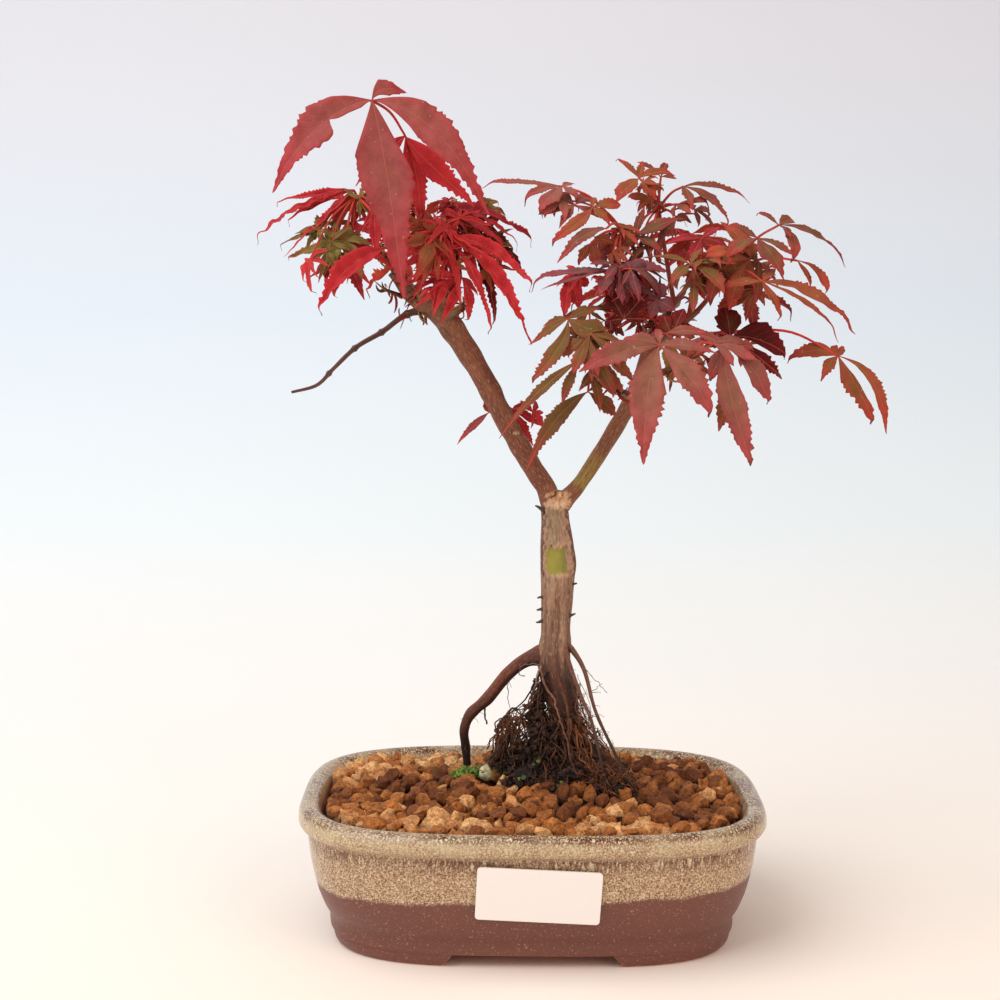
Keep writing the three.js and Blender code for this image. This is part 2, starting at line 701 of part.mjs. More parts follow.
        lobes: [[18, -8, -15, 6.5, 2], [26, 0, -5, 4.0, 2], [3, -8, -9, 4.5, 0]],
      },
      { hub: [37, -6, 271], face: [0, -6, 8], hue: 'rose',
        lobes: [[-8, 3, 5, 3.5, 0], [10, -8, -7, 5.5, 0], [20, 0, 7, 7.5, -1], [4, 6, 11, 3.5, 0]],
      },
    ],
  },
  {
    name: 'spray_right_outer',
    shoot: [[61.5, -1.8, 242.5], [67, -8, 250], [72, -12, 257]],
    leaves: [
      { hub: [90, -14, 275], face: [1, -5, 8], hue: 'rose',
        lobes: [[-8, 4, 5, 3.0, 0], [7, 8, 2, 5.5, 0], [27, 2, -14, 7.0, 3], [5, -8, -13, 7.0, 3],
          [4, -6, -5, 4.0, 0]],
      },
      { hub: [81, -22, 270], face: [0, -6, 8], hue: 'rose',
        lobes: [[-10, 4, 6, 3.5, 1], [-12, -4, -7, 6.0, 0], [9, -8, -15, 9.5, 0], [14, -2, -7, 4.5, 0]],
      },
      { hub: [98, -10, 262], face: [2, -6, 7], hue: 'orange',
        lobes: [[12, -4, -12, 4.5, 2], [6, 0, -10, 3.0, 0]],
      },
      { hub: [82, -30, 254], face: [1, -6, 8], hue: 'orange',
        lobes: [[-17, 0, -3, 4.5, 0], [7, -4, -14, 5.0, 0], [29, -6, -20, 3.5, 1],
          [35, -4, -17, 7.5, 2], [6, 8, 5, 3.5, 0]],
      },
    ],
  },
  {
    name: 'spray_right_far',
    shoot: [[55, 0.6, 237], [66, 2, 234], [75, 0, 235]],
    leaves: [
      { hub: [73, -14, 233], face: [0, -9, 3], hue: 'maroon',
        lobes: [[-2, 3, 12, 10.0, 0], [-10, -2, -3, 5.0, 0], [20, -2, -15, 7.0, 0],
          [23, 0, -7, 13.0, 2]],
      },
      { hub: [115, -8, 226], face: [1, -8, 5], hue: 'orange',
        lobes: [[-2, 4, 4, 3.0, 0], [-20, 2, -1, 8.0, -2], [-7, -4, -9, 4.5, -1],
          [13, -8, -26, 10.5, 0], [19, -4, -29, 5.5, 5], [3, 6, 4, 3.0, 0]],
      },
    ],
  },
  {
    name: 'spray_right_centre',
    shoot: [[48, 0, 235], [45, -12, 240]],
    leaves: [
      { hub: [32, -24, 240], face: [0, -9, 2], hue: 'maroon',
        lobes: [[-7, 0, -1, 4.5, 0], [8, 0, 0, 4.5, 0], [9, 3, 10, 7.0, 0], [-6, 3, 10, 7.5, 0]],
      },
      { hub: [44, -22, 247], face: [0, -9, 3], hue: 'purple',
        lobes: [[-9, 2, 3, 6.5, 0], [-2, -2, -7, 5.0, 0], [7, -2, -4, 6.0, 0], [3, 4, 7, 6.0, 0]],
      },
      { hub: [49, -30, 234], face: [0, -9, 3], hue: 'maroon',
        lobes: [[-3, 3, 8, 6.5, 0], [8, 2, 4, 4.5, 0], [5, 4, 10, 6.5, 0]],
      },
    ],
  },
  {
    name: 'spray_right_middle',
    shoot: [[58.5, -0.7, 240], [60, -8, 255]],
    leaves: [
      { hub: [56, -26, 260], face: [0, -5, 9], hue: 'olive',
        lobes: [[-18, 2, 2, 5.0, -1], [-8, -8, -7, 5.0, 0], [12, -8, -10, 6.5, 1], [17, 0, 0, 4.5, 0],
          [5, 8, 6, 3.5, 0]],
      },
      { hub: [62, -10, 270], face: [0, -5, 9], hue: 'crimson',
        lobes: [[-14, -4, -2, 4.5, 0], [-5, -8, -8, 4.5, 0], [10, -4, -5, 5.5, 1], [7, 5, 4, 4.0, 0]],
      },
    ],
  },
  {
    name: 'spray_right_back_low',
    shoot: [[46, 14, 235], [42, 24, 241], [41, 32, 246]],
    leaves: [
      { hub: [35, 40, 250], face: [-1, 4, 8], hue: 'crimson',
        lobes: [[-21, 10, -7, 7.0, 0], [-4, 20, -15, 7.5, 0], [15, 18, -12, 7.0, 0],
          [9, -2, 4, 5.0, 0], [-13, -8, 6, 5.0, 0]],
      },
      { hub: [54, 30, 231], face: [1, 4, 7], hue: 'olive',
        lobes: [[-10, 10, -11, 5.5, 0], [3, 16, -20, 7.0, 0], [16, 8, -12, 6.0, 0]],
      },
    ],
  },
  {
    name: 'spray_right_back_high',
    shoot: [[57.5, 12.7, 249.5], [64, 24, 260], [67, 32, 269]],
    leaves: [
      { hub: [63, 36, 273], face: [0, 4, 9], hue: 'crimson',
        lobes: [[-19, 10, -3, 7.5, 0], [-3, 20, -13, 7.5, 0], [16, 18, -12, 7.5, 0],
          [18, 2, 2, 5.5, 0]],
      },
      { hub: [83, 26, 250], face: [2, 3, 8], hue: 'maroon',
        lobes: [[-9, 12, -9, 5.5, 0], [7, 16, -15, 7.0, 0], [22, 4, -8, 6.5, 0], [12, -6, 6, 4.5, 0]],
      },
    ],
  },
  {
    name: 'spray_stem_shoot',
    shoot: [[-12, 5, 200], [-11, 12, 204], [-9, 17, 203]],
    leaves: [
      { hub: [-9, 17, 203], face: [1, -8, 4], hue: 'scarlet',
        lobes: [[9, 3, -15, 3.5, 0], [13, 2, -7, 4.5, 0], [7, 4, 2, 3.0, 0]],
      },
      { hub: [-18, 16, 202], face: [-1, -8, 4], hue: 'rose',
        lobes: [[-13, 2, -13, 3.0, 0], [-2, 2, 5, 3.0, 0]],
      },
    ],
  },
];

// How wide a lobe is along its rib, as a share of its widest: quickly wide, then drawn to a point
function lobeWidth(t) {
  return (t / 0.375) ** 0.9 * ((1 - t) / 0.625) ** 1.5;
}

// The edge of a lobe by its size (length times width): where its saw teeth stand along the
// rib and how far each stands out, and the stops along the rib itself
const EDGES = [
  {
    over: 480,
    teeth: [[0.3, 1.1], [0.36, 0.84], [0.5, 1.14], [0.57, 0.8], [0.72, 1.3], [0.79, 0.75]],
    ribStops: [0.3, 0.62],
  },
  { over: 150, teeth: [[0.34, 1.08], [0.42, 0.82], [0.62, 1.25], [0.7, 0.8]], ribStops: [0.42] },
  { over: 44, teeth: [[0.36, 1.05], [0.66, 1.1]], ribStops: [0.42] },
  { over: 0, teeth: [[0.42, 1.1]], ribStops: [0.42] },
];
const SINUS = 0.16;
const ARCH = 0.07;
const KEEL = 0.16;

// The lobes in turn round the hub as seen from the leaf's upper face, starting after the
// widest gap, which is where the stalk comes in
function lobesInTurn(leaf, face) {
  const east = new THREE.Vector3(1, 0, 0).projectOnPlane(face).normalize();
  const north = face.clone().cross(east);
  const around = leaf.lobes.map((lobe) => {
    const tip = vec(lobe);
    return { lobe, turn: Math.atan2(tip.dot(north), tip.dot(east)) };
  });
  around.sort((a, b) => a.turn - b.turn);
  let start = 0;
  let widest = -1;
  around.forEach(({ turn }, i) => {
    const before = around.at(i - 1).turn - (i === 0 ? 2 * Math.PI : 0);
    if (turn - before > widest) {
      widest = turn - before;
      start = i;
    }
  });
  return [...around.slice(start), ...around.slice(0, start)].map(({ lobe }) => lobe);
}

// One leaf: a thin blade with deep lobes, the same triangles on both faces and a wall round
// its edge. A point of a lobe is the hub plus a share t of the way to the tip, lifted by a
// low arch along the rib, moved aside by the bow and raised towards the edges by the keel
function leafGeometry(leaf) {
  const hub = vec(leaf.hub);
  const face = vec(leaf.face).normalize();
  const half = BLADE_THICKNESS / 2;
  const upper = [];
  const lower = [];
  const addCorner = (point, normal) => {
    upper.push(point.clone().addScaledVector(normal, half));
    lower.push(point.clone().addScaledVector(normal, -half));
    return upper.length - 1;
  };
  const lobes = lobesInTurn(leaf, face).map(([x, y, z, width, bow]) => {
    const rib = vec([x, y, z]);
    const length = rib.length();
    const along = rib.clone().normalize();
    const side = face.clone().cross(along).normalize();
    const top = along.clone().cross(side);
    return { rib, length, along, side, top, width, bow, room: [1, 1] };
  });
  for (let i = 0; i + 1 < lobes.length; i += 1) {
    const angle = lobes[i].along.angleTo(lobes[i + 1].along);
    const room = 0.82 * Math.tan(Math.min(angle / 2, 1.25));
    lobes[i].room[1] = room;
    lobes[i + 1].room[0] = room;
  }
  const pointOn = (lobe, t, across, edge) => {
    const hump = 4 * t * (1 - t);
    const limit = lobe.room[edge] * t * lobe.length;
    const reach = Math.min(Math.abs(across), limit) * Math.sign(across);
    return hub.clone().addScaledVector(lobe.rib, t)
      .addScaledVector(lobe.side, lobe.bow * hump + reach)
      .addScaledVector(lobe.top, ARCH * lobe.length * hump + KEEL * Math.abs(reach));
  };
  const edgePoint = (lobe, edge, t, stand) => {
    const across = (edge ? 1 : -1) * lobe.width / 2 * lobeWidth(t) * stand;
    return pointOn(lobe, t, across, edge);
  };
  const hubCorner = addCorner(hub, face);
  const first = lobes[0];
  const sinuses = [addCorner(edgePoint(first, 0, SINUS, 0.9), first.top)];
  for (let i = 0; i + 1 < lobes.length; i += 1) {
    const a = edgePoint(lobes[i], 1, SINUS, 1);
    const b = edgePoint(lobes[i + 1], 0, SINUS, 1);
    const normal = lobes[i].top.clone().add(lobes[i + 1].top).normalize();
    sinuses.push(addCorner(a.add(b).multiplyScalar(0.5), normal));
  }
  const final = lobes[lobes.length - 1];
  sinuses.push(addCorner(edgePoint(final, 1, SINUS, 0.9), final.top));
  const faces = [];
  const outline = [hubCorner];
  lobes.forEach((lobe, i) => {
    const size = lobe.length * lobe.width;
    const { teeth, ribStops } = EDGES.find(({ over }) => size > over);
    const tip = addCorner(pointOn(lobe, 1, 0, 0), lobe.top);
    const rib = [{ t: 0, corner: hubCorner }];
    for (const t of ribStops) rib.push({ t, corner: addCorner(pointOn(lobe, t, 0, 0), lobe.top) });
    for (const edge of [0, 1]) {
      const run = [{ t: SINUS, corner: sinuses[i + edge] }];
      for (const [t, stand] of teeth) {
        run.push({ t, corner: addCorner(edgePoint(lobe, edge, t, stand), lobe.top) });
      }
      run.push({ t: 1, corner: tip });
      let r = 0;
      let e = 0;
      while (r < rib.length - 1 || e < run.length - 1) {
        const ribNext = r < rib.length - 1 ? rib[r + 1].t : 2;
        const runNext = e < run.length - 1 ? run[e + 1].t : 2;
        const corners = ribNext < runNext
          ? [rib[r].corner, rib[r + 1].corner, run[e].corner]
          : [rib[r].corner, run[e + 1].corner, run[e].corner];
        if (ribNext < runNext) r += 1;
        else e += 1;
        faces.push(edge ? corners : corners.reverse());
      }
      const walk = run.map(({ corner }) => corner);
      if (edge) walk.reverse();
      outline.push(...walk.slice(outline.at(-1) === walk[0] ? 1 : 0));
    }
  });
  const count = upper.length;
  const triangles = faces.flatMap(([a, b, c]) => [[a, b, c], [c + count, b + count, a + count]]);
  outline.forEach((a, i) => {
    const b = outline[(i + 1) % outline.length];
    triangles.push([a + count, b + count, b], [a + count, b, a]);
  });
  return closedGeometry([...upper, ...lower].map((p) => p.toArray()), triangles);
}

// A leaf stalk from the end of the shoot, rising in a low arc to the hub
function petiole(leaf, root) {
  const hub = vec(leaf.hub);
  const start = vec(root);
  const middle = start.clone().lerp(hub, 0.55);
  middle.z += 0.12 * start.distanceTo(hub);
  const steps = start.distanceTo(hub) > 10 ? 2 : 1;
  const points = [start.toArray(), middle.toArray(), hub.toArray()];
  return limb(points, [PETIOLE_RADIUS, PETIOLE_RADIUS], 3, steps);
}

// A spray: its shoot, stalks and leaves fused, and cut back to clear the twig that bears it
function makeSpray({ name, shoot, leaves }, tree) {
  const parts = [limb(shoot, [SHOOT_RADIUS, SHOOT_RADIUS * 0.75], 4, 2)];
  const end = shoot[shoot.length - 1];
  for (const leaf of leaves) {
    parts.push(leafGeometry(leaf));
    if (vec(leaf.hub).distanceTo(vec(end)) > 1.5) parts.push(petiole(leaf, end));
  }
  const spray = joined(parts).subtract(tree);
  return finish(name, geometryFrom(spray), HUES[leaves[0].hue], 0.55);
}

const tree = joined(treeParts(0));
const treeRoom = joined(treeParts(GAP));
const ballRoom = joined(rootBallParts(GAP));
const rootBall = joined(rootBallParts(0)).subtract(treeRoom);
const stone = solidFrom(pebble(0)).subtract(treeRoom).subtract(ballRoom);
const stoneRoom = solidFrom(pebble(GAP));
const roomWidth = MESH_WIDTH + 2 * GAP;
const roomTop = FLOOR_TOP + MESH_THICKNESS + 2 * GAP;
const meshRoom = [-1, 1].map((side) => solidFrom(
  boxAt(roomWidth, roomWidth, roomTop, side * DRAIN_SPACING / 2, 0, roomTop / 2),
));

const bonsai = new THREE.Group();
bonsai.add(makePot());
bonsai.add(makeSoil([treeRoom, ballRoom, stoneRoom, ...meshRoom]));
bonsai.add(finish('drain_mesh_left', geometryFrom(drainMesh(-1)), 0x2b2b2b, 0.6));
bonsai.add(finish('drain_mesh_right', geometryFrom(drainMesh(1)), 0x2b2b2b, 0.6));
bonsai.add(finish('trunk', geometryFrom(tree), 0x8a5a41, 0.8));
bonsai.add(finish('root_ball', geometryFrom(rootBall), 0x2b1a14, 0.9));
bonsai.add(finish('pebble', geometryFrom(stone), 0xb9ad83, 0.8));
bonsai.add(makeCard());
for (const spray of SPRAYS) bonsai.add(makeSpray(spray, treeRoom));

// The origin is under the middle of the whole bonsai, on the surface that the feet stand on
const bounds = new THREE.Box3().setFromObject(bonsai);
const middle = bounds.getCenter(new THREE.Vector3());
bonsai.position.set(-middle.x, -middle.y, -bounds.min.z);

export default bonsai;
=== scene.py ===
"""Finished looks of a berry broom Japanese maple bonsai in a glazed oval pot.

Every shape is worked out in millimetres from the middle of the pot's underside, with +X to
the right, +Y away from the front and +Z up. make_piece moves it into the row frame.
"""

from functools import partial

import bmesh
import bpy
import numpy as np
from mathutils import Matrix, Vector


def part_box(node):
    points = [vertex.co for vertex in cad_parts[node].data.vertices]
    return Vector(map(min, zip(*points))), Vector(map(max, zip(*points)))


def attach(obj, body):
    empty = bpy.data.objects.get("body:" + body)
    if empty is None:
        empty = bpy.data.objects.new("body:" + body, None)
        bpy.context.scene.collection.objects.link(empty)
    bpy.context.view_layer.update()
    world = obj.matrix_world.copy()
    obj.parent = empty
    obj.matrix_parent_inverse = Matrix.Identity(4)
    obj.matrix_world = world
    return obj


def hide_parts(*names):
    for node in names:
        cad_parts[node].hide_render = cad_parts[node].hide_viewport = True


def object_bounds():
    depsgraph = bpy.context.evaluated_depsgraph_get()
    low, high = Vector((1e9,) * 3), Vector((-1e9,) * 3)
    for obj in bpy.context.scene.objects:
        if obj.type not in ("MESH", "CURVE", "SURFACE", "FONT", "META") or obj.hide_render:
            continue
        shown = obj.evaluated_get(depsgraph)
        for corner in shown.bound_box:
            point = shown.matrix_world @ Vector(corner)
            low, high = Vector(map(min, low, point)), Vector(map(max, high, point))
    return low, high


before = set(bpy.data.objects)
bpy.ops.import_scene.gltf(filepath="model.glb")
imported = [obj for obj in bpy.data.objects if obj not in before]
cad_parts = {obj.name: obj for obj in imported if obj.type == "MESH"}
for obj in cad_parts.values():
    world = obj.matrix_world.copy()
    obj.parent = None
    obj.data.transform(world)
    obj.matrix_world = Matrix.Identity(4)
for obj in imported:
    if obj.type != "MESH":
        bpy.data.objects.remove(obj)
cad_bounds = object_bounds()
pot_low, pot_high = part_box("pot")
POT_MIDDLE = np.array([(pot_low.x + pot_high.x) / 2, (pot_low.y + pot_high.y) / 2, pot_low.z])
MM = 0.001

# Camera and studio, in millimetres from the pot
CAMERA_PLACE = (-13.4, -657.0, 252.0)
CAMERA_PITCH = 7.2
CAMERA_ROLL = 0.4
CAMERA_LENS = 61.2
LAMP_AIM = (0, 0, 120)

# Sizes of the pot
POT_LENGTH = 182.0
POT_DEPTH = 130.0
OVAL_POWER = 3.4
DRAIN_SPACING = 84.0
DRAIN_RADIUS = 8.0
GLAZE_LINE = 27.6

# Height of the soil at the pot's wall, and how much higher its crown is
SOIL_EDGE = 50.6
SOIL_CROWN = 6.8

# Pebble, and the round place that granules leave free in front of it
PEBBLE_PLACE = (-18, 2, 59)
PEBBLE_RADIUS = 3.3
CLEARING = (-18, -2)
CLEARING_RADIUS = 5.5


def linear(hexadecimal):
    """A colour written as sRGB hex, as the linear red, green and blue that shaders take."""
    value = np.array([int(hexadecimal[i : i + 2], 16) for i in (1, 3, 5)]) / 255
    return np.where(value <= 0.04045, value / 12.92, ((value + 0.055) / 1.055) ** 2.4)


def rgba(hexadecimal):
    """The same colour with an alpha of 1, as colour sockets take it."""
    return (*linear(hexadecimal), 1.0)


def blend(a, b, share):
    """Colours (hex ones too) or numbers a to b by a share that has one value for each point."""
    a, b = (linear(end) if isinstance(end, str) else end for end in (a, b))
    share = np.asarray(share, float)
    if np.ndim(a) or np.ndim(b):
        share = share[..., None]
    return a + (b - a) * share


def step(low, high, value):
    """0 under low, 1 over high, and a smooth rise between them."""
    t = np.clip((value - low) / (high - low), 0, 1)
    return t * t * (3 - 2 * t)


def bell(*offsets):
    """1 where all offsets are 0, and falling off round it: e to the power of minus the sum of
    their squares."""
    return np.exp(-sum(offset**2 for offset in offsets))


def ripples(points, size, seed, count=20):
    """Uneven waves of about 0, at most 1 each way: the mean of sine waves of many headings,
    each about `size` mm long, so that neighbouring points get neighbouring values."""
    draw = np.random.default_rng(seed)
    headings = draw.normal(size=(points.shape[-1], count))
    headings *= 2 * np.pi / size * draw.uniform(0.6, 1.5, count) / np.linalg.norm(headings, axis=0)
    waves = np.sin(points @ headings + draw.uniform(0, 2 * np.pi, count))
    return waves.sum(axis=-1) / np.sqrt(count / 2) / 1.8


def unit(vectors):
    """The vectors brought to a length of 1."""
    return vectors / np.maximum(np.linalg.norm(vectors, axis=-1, keepdims=True), 1e-9)


# Shading


def node(tree, kind, *inputs, out=None, stops=(), named=None, **settings):
    """Adds one shader node with its settings and gives back an output: the one named, or the
    first. Inputs are values, hex colours or outputs to link, in turn for the sockets that the
    settings leave open, or by name. stops are a ramp's places with their hex colours or greys."""
    made = tree.nodes.new("ShaderNode" + kind)
    for key, value in settings.items():
        setattr(made, key, value)
    sockets = [*zip([socket for socket in made.inputs if socket.enabled], inputs)]
    sockets += [(made.inputs[key], value) for key, value in (named or {}).items()]
    for socket, value in sockets:
        if isinstance(value, bpy.types.NodeSocket):
            tree.links.new(value, socket)
        else:
            socket.default_value = rgba(value) if isinstance(value, str) else value
    for k, (place, colour) in enumerate(stops):
        elements = made.color_ramp.elements
        between = 0 < k < len(stops) - 1
        element = elements.new(place) if between else elements[-1 if k else 0]
        element.position = place
        element.color = rgba(colour) if isinstance(colour, str) else (colour, colour, colour, 1.0)
    shown = [socket for socket in made.outputs if socket.enabled and out in (None, socket.name)]
    return shown[0] if shown else None


def new_material(name):
    """An empty material, and the function that adds a node to it."""
    material = bpy.data.materials.new(name)
    material.use_nodes = True
    material.node_tree.nodes.clear()
    return material, partial(node, material.node_tree)


def show(add, relief=None, **looks):
    """Ends a material: a Principled shader with these inputs, whose names have _ for a space.
    relief is a height from 0 to 1, how many mm deep it is and its strength."""
    if relief:
        height, depth, strength = relief
        looks["Normal"] = add("Bump", named={"Height": height, "Distance": depth * MM, "Strength": strength})
    looks = {key.replace("_", " "): value for key, value in looks.items()}
    add("OutputMaterial", named={"Surface": add("BsdfPrincipled", named=looks)})


def millimetres(add, stretch=(1, 1, 1)):
    """Object coordinates in millimetres, multiplied by stretch along each axis."""
    scale = tuple(s / MM for s in stretch)
    return add("VectorMath", add("TexCoord", out="Object"), scale, operation="MULTIPLY")


# Meshes


def put_tint(mesh, tint):
    """Gives each point of the mesh a colour, which the materials read."""
    colours = np.column_stack([np.clip(tint, 0, 1), np.ones(len(tint))]).astype(np.float32)
    mesh.attributes.new("tint", "FLOAT_COLOR", "POINT").data.foreach_set("color", colours.ravel())


def make_piece(name, points, faces, material, nodes=None, slot=None, smooth=True, tint=None, uv=None):
    """An object from points in mm and arrays of corner numbers. tint gives each point a colour
    and uv gives it a place on the pattern, both read by the materials. A piece that gets nodes
    to replace, even none, rides the root, and is held inside the frame's own box, which takes
    off less than 1 mm."""
    mesh = bpy.data.meshes.new(name)
    rows = [np.asarray(f, dtype=np.int32) for f in faces if len(f)]
    corners = np.concatenate([row.ravel() for row in rows])
    sizes = np.concatenate([np.full(len(row), row.shape[1]) for row in rows])
    starts = np.concatenate([[0], np.cumsum(sizes)[:-1]]).astype(np.int32)
    mesh.vertices.add(len(points))
    places = points * MM + POT_MIDDLE
    if nodes is not None:
        places = np.clip(places, *cad_bounds)
    mesh.vertices.foreach_set("co", places.astype(np.float32).ravel())
    mesh.loops.add(len(corners))
    mesh.loops.foreach_set("vertex_index", corners)
    mesh.polygons.add(len(starts))
    mesh.polygons.foreach_set("loop_start", starts)
    mesh.polygons.foreach_set("use_smooth", np.full(len(starts), smooth))
    if tint is not None:
        put_tint(mesh, tint)
    if uv is not None:
        layer = mesh.uv_layers.new(name="pattern")
        layer.data.foreach_set("uv", np.asarray(uv, np.float32)[corners].ravel())
    mesh.update(calc_edges=True)
    mesh.validate()
    mesh.materials.append(material)
    made = bpy.data.objects.new(name, mesh)
    bpy.context.scene.collection.objects.link(made)
    if nodes is not None:
        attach(made, "root")
    if nodes:
        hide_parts(*nodes)
    return made


class Heap:
    """Gathers closed shapes into one mesh: their points, faces, tints and pattern places. It
    starts empty."""

    def __init__(self):
        self.points, self.faces, self.tints, self.uvs, self.count = [], [], [], [], 0

    def put(self, points, faces, tint, uv=(0.0, 0.0)):
        """Adds a shape. tint and uv are one value for all its points or one for each."""
        self.points.append(points)
        self.faces += [np.asarray(f) + self.count for f in faces]
        self.tints.append(np.broadcast_to(tint, (len(points), 3)))
        self.uvs.append(np.broadcast_to(uv, (len(points), 2)))
        self.count += len(points)

    def piece(self, name, material, **settings):
        """Makes one object of all that was put in, with make_piece's settings."""
        points, tint, uv = map(np.concatenate, (self.points, self.tints, self.uvs))
        return make_piece(name, points, self.faces, material, tint=tint, uv=uv, **settings)


def smooth_path(points, count):
    """Catmull-Rom curve through the points (knots by the root of the distance between them),
    as count points spaced evenly along it."""
    p = np.asarray(points, float)
    p = np.vstack([2 * p[0] - p[1], p, 2 * p[-1] - p[-2]])
    gaps = np.linalg.norm(np.diff(p, axis=0), axis=1) ** 0.5
    knots = np.concatenate([[0], np.cumsum(gaps)])
    t = np.linspace(knots[1], knots[-2], 12 * count)
    i = np.clip(np.searchsorted(knots, t, "right") - 1, 1, len(p) - 3)

    def between(a, b, low, high):
        """a at the knots numbered low, b at those numbered high, and a straight mix between."""
        share = ((t - knots[low]) / (knots[high] - knots[low]))[:, None]
        return a + (b - a) * share

    a1 = between(p[i - 1], p[i], i - 1, i)
    a2 = between(p[i], p[i + 1], i, i + 1)
    a3 = between(p[i + 1], p[i + 2], i + 1, i + 2)
    curve = between(between(a1, a2, i - 1, i + 1), between(a2, a3, i, i + 2), i, i + 1)
    along = np.concatenate([[0], np.cumsum(np.linalg.norm(np.diff(curve, axis=0), axis=1))])
    even = np.linspace(0, along[-1], count)
    return np.column_stack([np.interp(even, along, curve[:, k]) for k in range(3)])


def loft(rings):
    """A closed solid from rings (n, sides, 3) that run anticlockwise as seen from the last one:
    neighbouring rings are joined and each end is closed by a fan round its middle."""
    n, sides, _ = rings.shape
    points = np.concatenate([rings.reshape(-1, 3), rings[[0, -1]].mean(axis=1)])
    grid = np.arange(n * sides).reshape(n, sides)
    nxt = np.roll(grid, -1, axis=1)
    quads = np.stack([grid[:-1], nxt[:-1], nxt[1:], grid[1:]], -1).reshape(-1, 4)
    low = np.stack([np.full(sides, n * sides), nxt[0], grid[0]], -1)
    high = np.stack([np.full(sides, n * sides + 1), grid[-1], nxt[-1]], -1)
    return points, [quads, low, high]


def tube_frames(paths):
    """For each path: its heading and two directions square to it."""
    heading = unit(np.gradient(paths, axis=1))
    aid = np.eye(3)[np.abs(heading).mean(axis=1).argmin(axis=1)][:, None, :]
    across = unit(np.cross(heading, aid))
    return heading, across, np.cross(heading, across)


def tubes(paths, radii, sides):
    """Closed tubes, one along each path: a ring of corners stands square to the path at every
    point, at the radius given for the point (or for each corner); both ends are capped."""
    paths = np.asarray(paths, float)
    k, n, _ = paths.shape
    _, across, upward = tube_frames(paths)
    radii = np.asarray(radii, float)
    radii = radii[..., None] if radii.ndim == 2 else radii
    turn = np.arange(sides) / sides * 2 * np.pi
    spokes = np.cos(turn)[:, None] * across[:, :, None] + np.sin(turn)[:, None] * upward[:, :, None]
    rings = paths[:, :, None] + radii[..., None] * spokes
    points = np.concatenate([rings.reshape(-1, 3), paths[:, [0, -1]].reshape(-1, 3)])
    grid = np.arange(k * n * sides).reshape(k, n, sides)
    nxt = np.roll(grid, -1, axis=2)
    quads = np.stack([grid[:, :-1], nxt[:, :-1], nxt[:, 1:], grid[:, 1:]], -1).reshape(-1, 4)
    caps = np.broadcast_to((k * n * sides + 2 * np.arange(k))[:, None], (k, sides))
    low = np.stack([caps, nxt[:, 0], grid[:, 0]], -1).reshape(-1, 3)
    high = np.stack([caps + 1, grid[:, -1], nxt[:, -1]], -1).reshape(-1, 3)
    return points, [quads, low, high]


def tube_tints(colours, corners):
    """Tints of tubes that have one colour each: for all their ring corners, then their caps."""
    return np.concatenate([np.repeat(colours, corners, axis=0), np.repeat(colours, 2, axis=0)])


def ring_tints(colours, sides):
    """Tints of one tube whose colour changes along it: for each ring, then for both caps."""
    return np.concatenate([np.repeat(colours, sides, axis=0), colours[[0, -1]]])


# Pot


# Outside of the wall from the edge of the underside up to the lip, over it and down inside:
# how far each ring lies inside the widest line of the lip, and its height
WALL = [
    (12.7, 5.0), (11.9, 5.7), (11.8, 7.2), (12.2, 8.6), (12.3, 9.8), (11.6, 11.4), (10.3, 13.4),
    (9.2, 15.6), (8.3, 18.0), (7.2, 21.0), (6.3, 24.5), (5.4, 28.5), (4.6, 33.0), (4.0, 37.5),
    (3.6, 41.5), (3.4, 44.2), (3.1, 45.2), (1.9, 45.9), (0.8, 46.8), (0.1, 48.2), (0.2, 50.2),
    (0.9, 52.2), (2.2, 53.5), (3.9, 54.0), (5.6, 53.8), (7.2, 53.0), (8.3, 51.4), (9.0, 49.0),
    (9.8, 42.0), (11.2, 30.0), (13.2, 20.0), (15.6, 13.0), (19.0, 9.5),
]
FOOT_GAP_LENGTH = 70.0
FOOT_GAP_DEPTH = 62.0
FOOT_RINGS = [(15.4, 0.0), (14.2, 0.35), (13.3, 1.3), (12.7, 2.6), (12.5, 4.0), (12.7, 5.4)]


def oval(inset, turn):
    """The pot's rounded outline at each turn, drawn in by the inset: x and y follow the cosine
    and sine raised to two over the oval's power."""
    x = np.sign(np.cos(turn)) * np.abs(np.cos(turn)) ** (2 / OVAL_POWER)
    y = np.sign(np.sin(turn)) * np.abs(np.sin(turn)) ** (2 / OVAL_POWER)
    return (POT_LENGTH / 2 - inset) * x, (POT_DEPTH / 2 - inset) * y


def ring_stack(profile, sides):
    """A closed solid of horizontal oval rings, one for each inset and height of the profile."""
    profile = np.asarray(profile, float)
    turn = (np.arange(sides) + 0.5) / sides * 2 * np.pi
    x, y = oval(profile[:, :1], turn)
    return loft(np.stack([x, y, np.broadcast_to(profile[:, 1:], x.shape)], -1))


def cut_away(target, tools):
    """Cuts the tools out of the target and removes them."""
    for tool in tools:
        change = target.modifiers.new("cut", "BOOLEAN")
        change.operation = "DIFFERENCE"
        change.solver = "EXACT"
        change.object = tool
    bpy.context.view_layer.update()
    evaluated = target.evaluated_get(bpy.context.evaluated_depsgraph_get())
    mesh = bpy.data.meshes.new_from_object(evaluated)
    target.modifiers.clear()
    target.data = mesh
    for tool in tools:
        bpy.data.objects.remove(tool)


